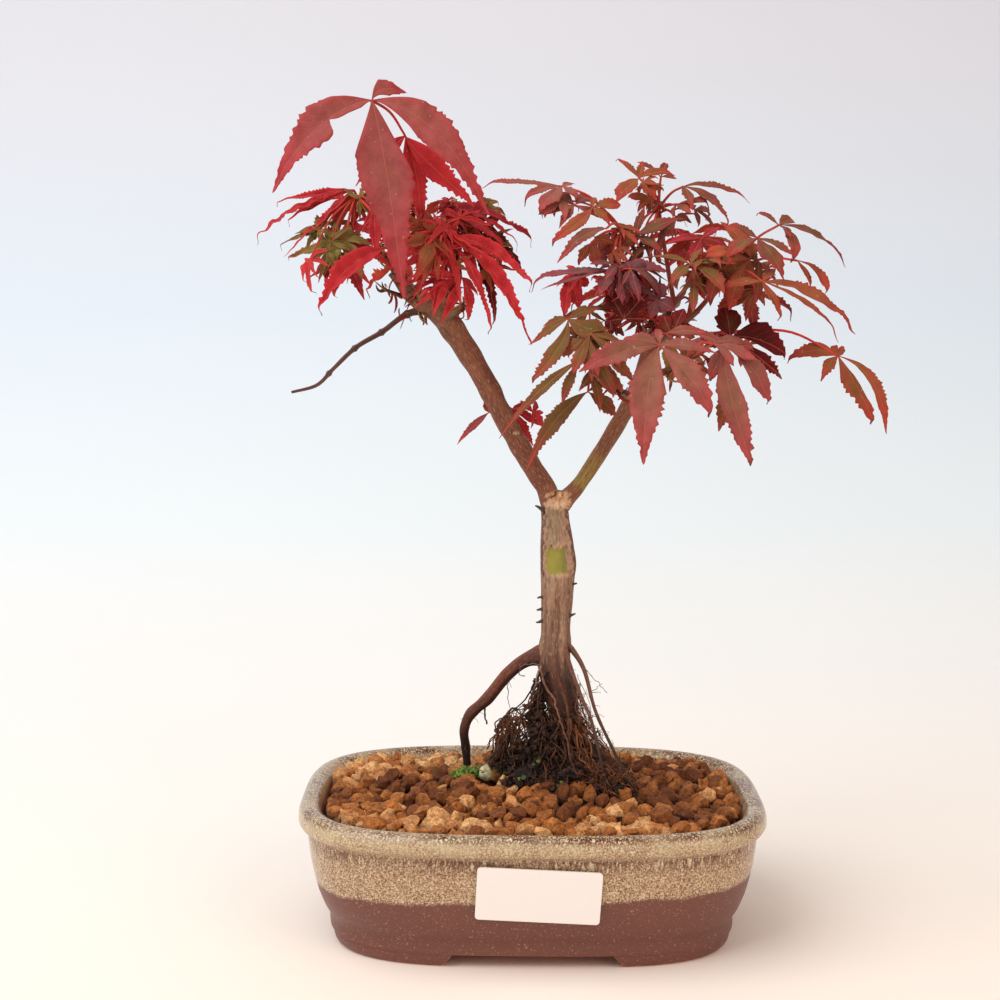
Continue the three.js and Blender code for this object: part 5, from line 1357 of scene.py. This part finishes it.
def inner_leaves(name, shoot, leaves, draw):
    """Smaller leaves between the shoot's end and the large ones, or, at the left, anywhere in the
    spray: each a fan of narrow drooping lobes that point away from the spray's middle. Lobes are
    shortened to end inside the frame's box of the spray."""
    low, high = ((np.array(corner) - POT_MIDDLE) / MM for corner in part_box(name))
    left = name.startswith("spray_left")
    made = []
    for _ in range(INNER_LEAVES[name]):
        model = leaves[draw.integers(len(leaves))]
        hub = np.array(shoot[-1]) + (np.array(model[0]) - shoot[-1]) * draw.uniform(0.1, 0.9)
        anywhere = low + (high - low) * draw.uniform((0.2, 0.15, 0.3), (0.8, 0.7, 0.85))
        hub = blend(hub + draw.normal(0, 4.0, 3), anywhere, draw.choice([0.0, 0.75]) * left)
        hub = np.clip(hub, low + 2, high - 2)
        longest = max(np.linalg.norm(lobe[:3]) for lobe in model[3])
        size = min(longest * draw.uniform(0.45, 0.8), draw.uniform(12, 24) if left else draw.uniform(14, 24))
        face = unit(unit(np.array(model[1], float)) + draw.normal(0, 0.35, 3))
        away = unit(hub - (low + high) / 2) + draw.normal(0, 0.35, 3) + (0, -0.2, -0.5 if left else -0.1)
        ahead = unit(away - face * (away @ face))
        aside = np.cross(face, ahead)
        lobes = []
        for turn in np.linspace(-1.9, 1.9, draw.integers(5, 7)) + draw.normal(0, 0.12):
            length = size * (0.25 + 0.75 * np.cos(turn / 2) ** 1.6) * draw.uniform(0.8, 1.15)
            tip = ahead * np.cos(turn) + aside * np.sin(turn) - face * draw.uniform(0.05, 0.5)
            tip = unit(tip - (0, 0, 0.3)) * length
            room = np.where(tip > 0, high - hub, hub - low) / np.maximum(np.abs(tip), 1e-6)
            tip = tip * min(room.min(), 1.0)
            length = np.linalg.norm(tip)
            if length > 3:
                broad = draw.uniform(0.15, 0.26) if left else draw.uniform(0.22, 0.36)
                lobes.append((*tip, max(length * broad, 1.8), draw.normal(0, 0.05) * length))
        if len(lobes) > 1:
            made.append((tuple(hub), tuple(face), model[2], lobes))
    return made


def dried_curls(heap, wood, centre, spread, count, draw):
    """Dried remains of leaves and bud scales: short narrow ribbons that wind into loose hooks,
    tan, brown and dark red. Each starts at the point of the wood nearest to a random place."""
    start = np.array(centre) + draw.normal(size=(count, 3)) * spread
    start = wood[np.linalg.norm(start[:, None] - wood[None], axis=2).argmin(axis=1)]
    way = unit(draw.normal(size=(count, 3)) + (0, -0.4, -0.2))
    aside = unit(np.cross(way, draw.normal(size=(count, 3))))
    t = np.linspace(0, 1, 12)[None, :, None]
    turns = draw.uniform(0.1, 0.55, (count, 1, 1)) * 2 * np.pi * t
    size = draw.uniform(1.0, 3.4, (count, 1, 1))
    paths = start[:, None] + size * (np.sin(turns) * way[:, None] + (1 - np.cos(turns)) * aside[:, None])
    paths += way[:, None] * t * draw.uniform(0.5, 4, (count, 1, 1))
    width = draw.uniform(0.15, 0.6, (count, 1)) * np.sin(np.linspace(0.5, 2.9, 12))
    points, faces = tubes(paths, width, 5)
    which = draw.random(count)
    colours = blend("#43261c", "#b08650", step(0.1, 0.9, which))
    red = (which > 0.35) & (draw.random(count) < 0.5)
    colours = np.where(red[:, None], linear("#93302c"), colours)
    heap.put(points, faces, tube_tints(colours, 60), OFF_THE_VEINS)


# Where the dried remains hang: the spray that holds them, their middle, spread and number
CURLS = [
    ("spray_left_front", (-40, -3, 245), (4, 1.5, 2), 46),
    ("spray_left_front", (-47, -2, 243.5), (2.6, 1, 1.2), 20),
    ("spray_left_front", (-56, -4, 249.5), (1.6, 1, 1.4), 16),
    ("spray_left_inner", (-31, -4, 249), (6, 2, 4), 40),
    ("spray_left_outer", (-56, -3, 262), (5, 2, 4), 24),
    ("spray_right_west", (32, -2, 246), (6, 3, 5), 22),
    ("spray_right_low", (33, -4, 212), (6, 2, 4), 16),
    ("spray_right_middle", (46, -2, 240), (8, 3, 7), 26),
    ("spray_right_fall", (55, -5, 216), (8, 3, 3), 16),
]


def build_spray(name, slot, shoot, leaves, material, seed):
    """One spray: its shoot, its large leaves with their stalks, the smaller leaves between them
    and its dried remains."""
    draw = np.random.default_rng(seed)
    heap = Heap()
    crumple = 0.9 if name.startswith("spray_left") and name != "spray_left_top" else 0.25
    peaks = (0.36, 0.58) if name.startswith("spray_right") else (0.31, 0.42)
    path = smooth_path(shoot, 18)
    points, faces = tubes(path[None], [np.linspace(1.0, 0.7, 18)], 10)
    grown = blend("#8f4436", "#b44038", step(0.4, 1.0, np.linspace(0, 1, 18)))
    heap.put(points, faces, ring_tints(grown, 10), OFF_THE_VEINS)
    for leaf in leaves:
        put_leaf(heap, leaf, draw, 9, crumple, peaks)
        if np.linalg.norm(np.subtract(leaf[0], shoot[-1])) > 1.5:
            put_stalk(heap, shoot[-1], leaf[0], 0.5, draw)
    for leaf in inner_leaves(name, shoot, leaves, draw):
        put_leaf(heap, leaf, draw, 5, crumple, peaks)
        put_stalk(heap, shoot[-1], leaf[0], 0.4, draw)
    wood = [smooth_path(points, 60) for points, _ in {**LIMBS, **TWIGS}.values()]
    wood += [path] + [np.linspace(shoot[-1], leaf[0], 12)[:9] for leaf in leaves]
    for holder, centre, spread, count in CURLS:
        if holder == name:
            dried_curls(heap, np.concatenate(wood), centre, spread, count, draw)
    heap.piece(name + "_leaves", material, nodes=[name], slot=slot)


# Each spray: its node, slot, the middle line of its shoot and its leaves. A leaf has its hub, the
# way its upper side looks, its hue and its lobes: where the tip lies from the hub (x, y, z), the
# widest width of the lobe, how far its rib bows sideways and, for one, where along it a bite is
SPRAYS = [
    ("spray_left_top", "leaf_rose",
     [(-50, -2, 252), (-53, -24, 283), (-60, -39, 317)], [
        ((-60, -39, 317), (0, -9, 3), "rose", [
            (-36, -4, -32, 14.5, -4.5, 0.34), (12, -8, -70, 19.5, 1), (42, -2, -40, 13.5, 7),
            (12, 5, 3, 7.0, 3),
        ]),
        ((-49, -24, 306), (1, -9, 3), "scarlet", [
            (-19, 2, -18, 5.0, 0), (6, 6, -33, 8.0, 1), (26, 4, -25, 9.0, -2),
        ]),
     ]),
    ("spray_left_outer", "leaf_scarlet",
     [(-54, -2, 256), (-62, -8, 270), (-68, -12, 285)], [
        ((-69, -13, 287), (-2, -8, 5), "scarlet", [
            (-32, 6, -5, 3.0, 1), (-27, 0, -12, 3.0, 1), (-38, -6, -20, 5.0, -2),
            (-25, -9, -25, 3.0, 2), (-17, -3, -20, 3.5, 0), (-9, 4, -18, 5.0, 0),
        ]),
        ((-71, -24, 268), (0, -8, 6), "green", [
            (2, 5, 6, 3.5, 0), (-23, 2, -7, 3.5, 1), (-9, -2, -14, 6.0, 0), (7, -4, -14, 7.5, 0),
            (11, 0, -2, 5.0, 0),
        ]),
        ((-55, -32, 265), (0, -8, 5), "scarlet", [
            (-27, -2, -24, 7.5, -3), (5, 0, -11, 3.5, 0),
        ]),
        ((-71, -14, 262), (-1, -8, 4), "crimson", [
            (-17, -2, -10, 3.5, 0), (-6, 2, -16, 5.0, 0), (6, 2, -16, 4.5, 0),
        ]),
     ]),
    ("spray_left_front", "leaf_orange",
     [(-45, -6, 251), (-42, -16, 261), (-38, -24, 269)], [
        ((-39, -25, 270), (0, -9, 4), "orange", [
            (-2, 5, 9, 5.0, 0), (-14, 0, -5, 4.5, 1), (-6, -3, -17, 6.5, 1), (7, -2, -9, 3.5, 0),
        ]),
        ((-33, -21, 269), (1, -8, 5), "scarlet", [
            (5, -6, -26, 3.5, 0), (17, -4, -36, 4.5, 2), (31, -2, -39, 7.5, 4),
            (33, 2, -19, 6.0, 4),
        ]),
     ]),
    ("spray_left_inner", "leaf_crimson",
     [(-34, 0, 248), (-30, -2, 261), (-34, -4, 277)], [
        ((-38, -8, 281), (1, -7, 7), "crimson", [
            (13, -4, -11, 4.0, 0), (27, -3, -16, 5.0, 1), (33, 0, -15, 4.0, 2),
            (39, 4, -13, 5.5, 2),
        ]),
        ((-23, -1, 271), (1, -8, 5), "maroon", [
            (8, -4, -35, 5.5, 0), (18, 2, -15, 6.5, 2),
        ]),
        ((-24, 4, 282), (0, -7, 7), "green", [
            (5, -3, -5, 3.0, 0), (12, -2, -3, 3.5, 0), (10, 4, 2, 3.0, 0),
        ]),
     ]),
    ("spray_left_back", "leaf_crimson",
     [(-38, 8, 249), (-43, 18, 263), (-45, 26, 275)], [
        ((-45, 27, 277), (0, 2, 9), "crimson", [
            (-20, 12, -7, 6.5, 0), (1, 20, -15, 7.0, 0), (20, 10, -5, 6.5, 0),
            (14, -4, 10, 5.0, 0), (-11, -2, 13, 5.0, 0),
        ]),
        ((-51, 16, 261), (-3, 2, 9), "scarlet", [
            (-20, -4, 0, 4.0, 0), (-17, 8, -13, 5.0, 0), (2, 14, -15, 5.0, 0),
        ]),
     ]),
    ("spray_right_front", "leaf_rose",
     [(59.5, -4, 222), (57, -22, 226), (55, -38, 230)], [
        ((43, -50, 231), (0, -8, 6), "dusk", [
            (0, 8, 6, 3.0, 0), (-14, 4, 2, 5.0, -1), (-29, -6, -9, 8.5, -1),
            (-6, -12, -41, 13.0, -2), (19, -8, -25, 10.5, 1), (21, 0, -3, 5.5, 1),
        ]),
        ((68, -38, 231), (0, -8, 5), "dusk", [
            (-10, 3, 4, 3.5, 0), (-6, -3, -13, 6.0, 0), (10, -10, -45, 9.5, -3),
            (17, -2, -22, 8.0, 2), (11, 6, -1, 3.5, 0),
        ]),
        ((71, -30, 215), (0, -9, 3), "olive", [
            (-4, -2, -16, 6.5, 0), (4, -2, -12, 5.0, 0),
        ]),
     ]),
    ("spray_right_low", "leaf_olive",
     [(35, 2, 211), (26, -14, 215), (20, -24, 222)], [
        ((11, -30, 240), (0, -8, 6), "olive", [
            (13, 6, 4, 5.0, 0), (-9, 4, -3, 3.5, 0), (-14, 0, -10, 4.0, 0),
            (-14, -6, -24, 6.5, 3), (19, -2, -9, 10.0, -1),
        ]),
        ((15, -38, 225), (-1, -8, 5), "olive", [
            (-29, -6, -28, 4.0, -1), (-6, 4, -16, 4.0, 0),
        ]),
        ((19, -26, 213), (-1, -8, 5), "olive", [
            (-23, -10, -28, 6.5, -2), (11, 2, -9, 6.5, 0), (14, 6, 3, 3.5, 1),
        ]),
        ((22, -20, 232), (0, -8, 6), "green", [
            (-10, -2, -4, 3.0, 0), (-2, 2, -5, 3.5, 0),
        ]),
     ]),
    ("spray_right_west", "leaf_rose",
     [(44, -1.8, 246.5), (39, -4, 262), (32, -8, 273)], [
        ((9, -12, 289), (0, -6, 8), "dusk", [
            (6, -4, -5, 5.0, 0), (5, 6, 1, 3.0, 0), (-31, 2, 1, 3.5, 2), (-15, -6, -5, 3.0, 0),
            (-9, -8, -10, 8.5, 0),
        ]),
        ((20, -18, 281), (0, -7, 6), "orange", [
            (-16, -6, -14, 5.5, 2), (7, -2, -7, 4.5, 0), (11, 6, 1, 5.5, 0), (1, 3, 4, 3.0, 0),
        ]),
        ((25, -24, 273), (-1, -7, 6), "dusk", [
            (-18, -4, -13, 5.0, -2), (-6, 3, -2, 3.0, 0),
        ]),
        ((20, -14, 268), (0, -8, 4), "orange", [
            (-5, -3, -8, 4.0, 0), (2, -4, -9, 5.5, 0), (11, 2, -2, 4.0, 2),
        ]),
     ]),
    ("spray_right_fall", "leaf_purple",
     [(45, 0, 239), (36, -11, 246), (29, -20, 256)], [
        ((28, -22, 258), (0, -6, 8), "purple", [
            (-32, -6, -4, 5.0, 2), (-27, -10, -8, 3.0, 1), (-6, -6, -10, 5.5, 0),
            (21, 6, -1, 6.0, 1), (7, 9, 2, 3.5, 0),
        ]),
        ((12, -14, 256), (0, -9, 3), "scarlet", [
            (-2, -4, -16, 5.0, 0), (4, -2, -13, 6.0, 0), (8, 2, -4, 4.5, 0),
        ]),
     ]),
    ("spray_right_top", "leaf_orange",
     [(54, 10, 245), (50, 9, 265), (47, 8, 282)], [
        ((39, 4, 293), (0, -5, 8), "orange", [
            (-9, 4, 8, 3.0, 0), (-9, -8, -9, 8.0, 0), (2, 9, 7, 3.0, 0), (14, 2, 2, 4.5, 1),
            (6, -6, -8, 4.0, 0),
        ]),
        ((48, 12, 294), (0, -4, 9), "bronze", [
            (-9, 2, 6, 3.0, 0), (3, 8, 6, 3.0, 0), (6, -2, -1, 3.0, 0),
        ]),
        ((56, 4, 290), (0, -5, 8), "bronze", [
            (18, -8, -15, 6.5, 2), (26, 0, -5, 4.0, 2), (3, -8, -9, 4.5, 0),
        ]),
        ((37, -6, 271), (0, -6, 8), "bronze", [
            (-8, 3, 5, 3.5, 0), (10, -8, -7, 5.5, 0), (20, 0, 7, 7.5, -1), (4, 6, 11, 3.5, 0),
        ]),
     ]),
    ("spray_right_outer", "leaf_rose",
     [(61.5, -1.8, 242.5), (67, -8, 250), (72, -12, 257)], [
        ((90, -14, 275), (1, -5, 8), "bronze", [
            (-8, 4, 5, 3.0, 0), (7, 8, 2, 5.5, 0), (27, 2, -14, 7.0, 3), (5, -8, -13, 7.0, 3),
            (4, -6, -5, 4.0, 0),
        ]),
        ((81, -22, 270), (0, -6, 8), "bronze", [
            (-10, 4, 6, 3.5, 1), (-12, -4, -7, 6.0, 0), (9, -8, -15, 9.5, 0),
            (14, -2, -7, 4.5, 0),
        ]),
        ((98, -10, 262), (2, -6, 7), "orange", [
            (12, -4, -12, 4.5, 2), (6, 0, -10, 3.0, 0),
        ]),
        ((82, -30, 254), (1, -6, 8), "orange", [
            (-17, 0, -3, 4.5, 0), (7, -4, -14, 5.0, 0), (29, -6, -20, 3.5, 1),
            (35, -4, -17, 7.5, 2), (6, 8, 5, 3.5, 0),
        ]),
     ]),
    ("spray_right_far", "leaf_maroon",
     [(55, 0.6, 237), (66, 2, 234), (75, 0, 235)], [
        ((73, -14, 233), (0, -9, 3), "maroon", [
            (-2, 3, 12, 10.0, 0), (-10, -2, -3, 5.0, 0), (20, -2, -15, 7.0, 0),
            (23, 0, -7, 13.0, 2),
        ]),
        ((115, -8, 226), (1, -8, 5), "orange", [
            (-2, 4, 4, 3.0, 0), (-20, 2, -1, 8.0, -2), (-7, -4, -9, 4.5, -1),
            (13, -8, -26, 10.5, 0), (19, -4, -29, 5.5, 5), (3, 6, 4, 3.0, 0),
        ]),
     ]),
    ("spray_right_centre", "leaf_maroon",
     [(48, 0, 235), (45, -12, 240)], [
        ((32, -24, 240), (0, -9, 2), "maroon", [
            (-7, 0, -1, 4.5, 0), (8, 0, 0, 4.5, 0), (9, 3, 10, 7.0, 0), (-6, 3, 10, 7.5, 0),
        ]),
        ((44, -22, 247), (0, -9, 3), "purple", [
            (-9, 2, 3, 6.5, 0), (-2, -2, -7, 5.0, 0), (7, -2, -4, 6.0, 0), (3, 4, 7, 6.0, 0),
        ]),
        ((49, -30, 234), (0, -9, 3), "maroon", [
            (-3, 3, 8, 6.5, 0), (8, 2, 4, 4.5, 0), (5, 4, 10, 6.5, 0),
        ]),
     ]),
    ("spray_right_middle", "leaf_olive",
     [(58.5, -0.7, 240), (60, -8, 255)], [
        ((56, -26, 260), (0, -5, 9), "olive", [
            (-18, 2, 2, 5.0, -1), (-8, -8, -7, 5.0, 0), (12, -8, -10, 6.5, 1), (17, 0, 0, 4.5, 0),
            (5, 8, 6, 3.5, 0),
        ]),
        ((62, -10, 270), (0, -5, 9), "crimson", [
            (-14, -4, -2, 4.5, 0), (-5, -8, -8, 4.5, 0), (10, -4, -5, 5.5, 1), (7, 5, 4, 4.0, 0),
        ]),
     ]),
    ("spray_right_back_low", "leaf_crimson",
     [(46, 14, 235), (42, 24, 241), (41, 32, 246)], [
        ((35, 40, 250), (-1, 4, 8), "crimson", [
            (-21, 10, -7, 7.0, 0), (-4, 20, -15, 7.5, 0), (15, 18, -12, 7.0, 0),
            (9, -2, 4, 5.0, 0), (-13, -8, 6, 5.0, 0),
        ]),
        ((54, 30, 231), (1, 4, 7), "olive", [
            (-10, 10, -11, 5.5, 0), (3, 16, -20, 7.0, 0), (16, 8, -12, 6.0, 0),
        ]),
     ]),
    ("spray_right_back_high", "leaf_crimson",
     [(57.5, 12.7, 249.5), (64, 24, 260), (67, 32, 269)], [
        ((63, 36, 273), (0, 4, 9), "crimson", [
            (-19, 10, -3, 7.5, 0), (-3, 20, -13, 7.5, 0), (16, 18, -12, 7.5, 0),
            (18, 2, 2, 5.5, 0),
        ]),
        ((83, 26, 250), (2, 3, 8), "maroon", [
            (-9, 12, -9, 5.5, 0), (7, 16, -15, 7.0, 0), (22, 4, -8, 6.5, 0), (12, -6, 6, 4.5, 0),
        ]),
     ]),
    ("spray_stem_shoot", "leaf_scarlet",
     [(-12, 5, 200), (-11, 12, 204), (-9, 17, 203)], [
        ((-9, 17, 203), (1, -8, 4), "scarlet", [
            (9, 3, -15, 3.5, 0), (13, 2, -7, 4.5, 0), (7, 4, 2, 3.0, 0),
        ]),
        ((-18, 16, 202), (-1, -8, 4), "rose", [
            (-13, 2, -13, 3.0, 0), (-2, 2, 5, 3.0, 0),
        ]),
     ]),
]


# Card and drain meshes, which keep the frame's shape


def dress(names, finish, colour, roughness):
    """Gives the frame's nodes of these names one plain material."""
    material, add = new_material(finish)
    show(add, Base_Color=colour, Roughness=roughness)
    for name in names:
        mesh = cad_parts[name].data
        mesh.materials.clear()
        mesh.materials.append(material)


# Studio


def row(place):
    """A place in mm from the pot's middle, in the row frame's metres."""
    return np.array(place, float) * MM + POT_MIDDLE


def build_studio():
    """A pale floor that curves up into a pale backdrop, warmest on the near floor and dimmer and
    greyer up the backdrop, as painted fall-off of the light, one large soft lamp high on the
    left, a weaker one on the right, and an even pale sky."""
    material, add = new_material("pale paper")
    place = millimetres(add)
    # Painted light: the paper grows dimmer and greyer up the backdrop, as the light falls off
    rise = add("Math", add("SeparateXYZ", place, out="Y"), 0.06, operation="MULTIPLY")
    rise = add("Math", add("SeparateXYZ", place, out="Z"), rise, operation="ADD")
    colour = add("ValToRGB", add("MapRange", rise, -20.0, 980.0), stops=[
        (0.0, "#ffeee0"), (0.02, "#fff4e8"), (0.05, "#fefcf7"), (0.12, "#f1f8f9"),
        (0.3, "#e2ecf5"), (0.55, "#e1e2e9"), (1.0, "#d6d2d9"),
    ])
    show(add, Base_Color=colour, Roughness=0.9)
    bend = np.linspace(0, np.pi / 2, 24)
    away = np.concatenate([[-1500, 300], 500 + 500 * np.sin(bend), [1000]])
    high = np.concatenate([[0, 0], 500 - 500 * np.cos(bend), [2600]])
    points = np.stack(np.broadcast_arrays([[-2600.0], [2600.0]], away, high), -1)
    grid = np.arange(2 * len(away)).reshape(2, -1)
    quads = np.stack([grid[0, :-1], grid[1, :-1], grid[1, 1:], grid[0, 1:]], -1)
    floor = make_piece("paper_sweep", points.reshape(-1, 3), [quads], material)

    # Sky
    world = bpy.data.worlds.new("studio sky")
    world.use_nodes = True
    sky = world.node_tree.nodes["Background"]
    sky.inputs["Color"].default_value = rgba("#f3f6fa")
    sky.inputs["Strength"].default_value = 0.55
    bpy.context.scene.world = world

    # Lamps: place and size in mm, power in watts
    for name, place, size, power, colour in (
        ("lamp left", (-800, -500, 1300), 1400, 18.5, "#ffffff"),
        ("lamp right", (900, -900, 900), 900, 5.6, "#ffd8b0"),
    ):
        light = bpy.data.lights.new(name, "AREA")
        light.shape = "SQUARE"
        light.size = size * MM
        light.energy = power
        light.color = linear(colour)
        lamp = bpy.data.objects.new(name, light)
        lamp.location = row(place)
        lamp.rotation_euler = Vector(row(LAMP_AIM) - row(place)).to_track_quat("-Z", "Y").to_euler()
        bpy.context.scene.collection.objects.link(lamp)

    # Camera
    lens = bpy.data.cameras.new("camera")
    lens.sensor_width = 36.0
    lens.lens = CAMERA_LENS
    lens.clip_start = 0.01
    camera = bpy.data.objects.new("camera", lens)
    camera.location = row(CAMERA_PLACE)
    camera.rotation_mode = "ZYX"
    camera.rotation_euler = (np.radians(90 - CAMERA_PITCH), 0.0, np.radians(CAMERA_ROLL))
    bpy.context.scene.collection.objects.link(camera)
    bpy.context.scene.camera = camera
    bpy.context.scene.view_settings.view_transform = "Standard"


build_pot()
build_soil()
build_trunk()
build_root_ball()
build_pebble()
build_moss()
blade = leaf_blade()
for number, (name, slot, shoot, leaves) in enumerate(SPRAYS):
    build_spray(name, slot, shoot, leaves, blade, 100 + number)
dress(["label_card"], "blank white card", "#f8f2ee", 0.45)
dress(["drain_mesh_left", "drain_mesh_right"], "black plastic mesh", "#2b2b2b", 0.6)
build_studio()
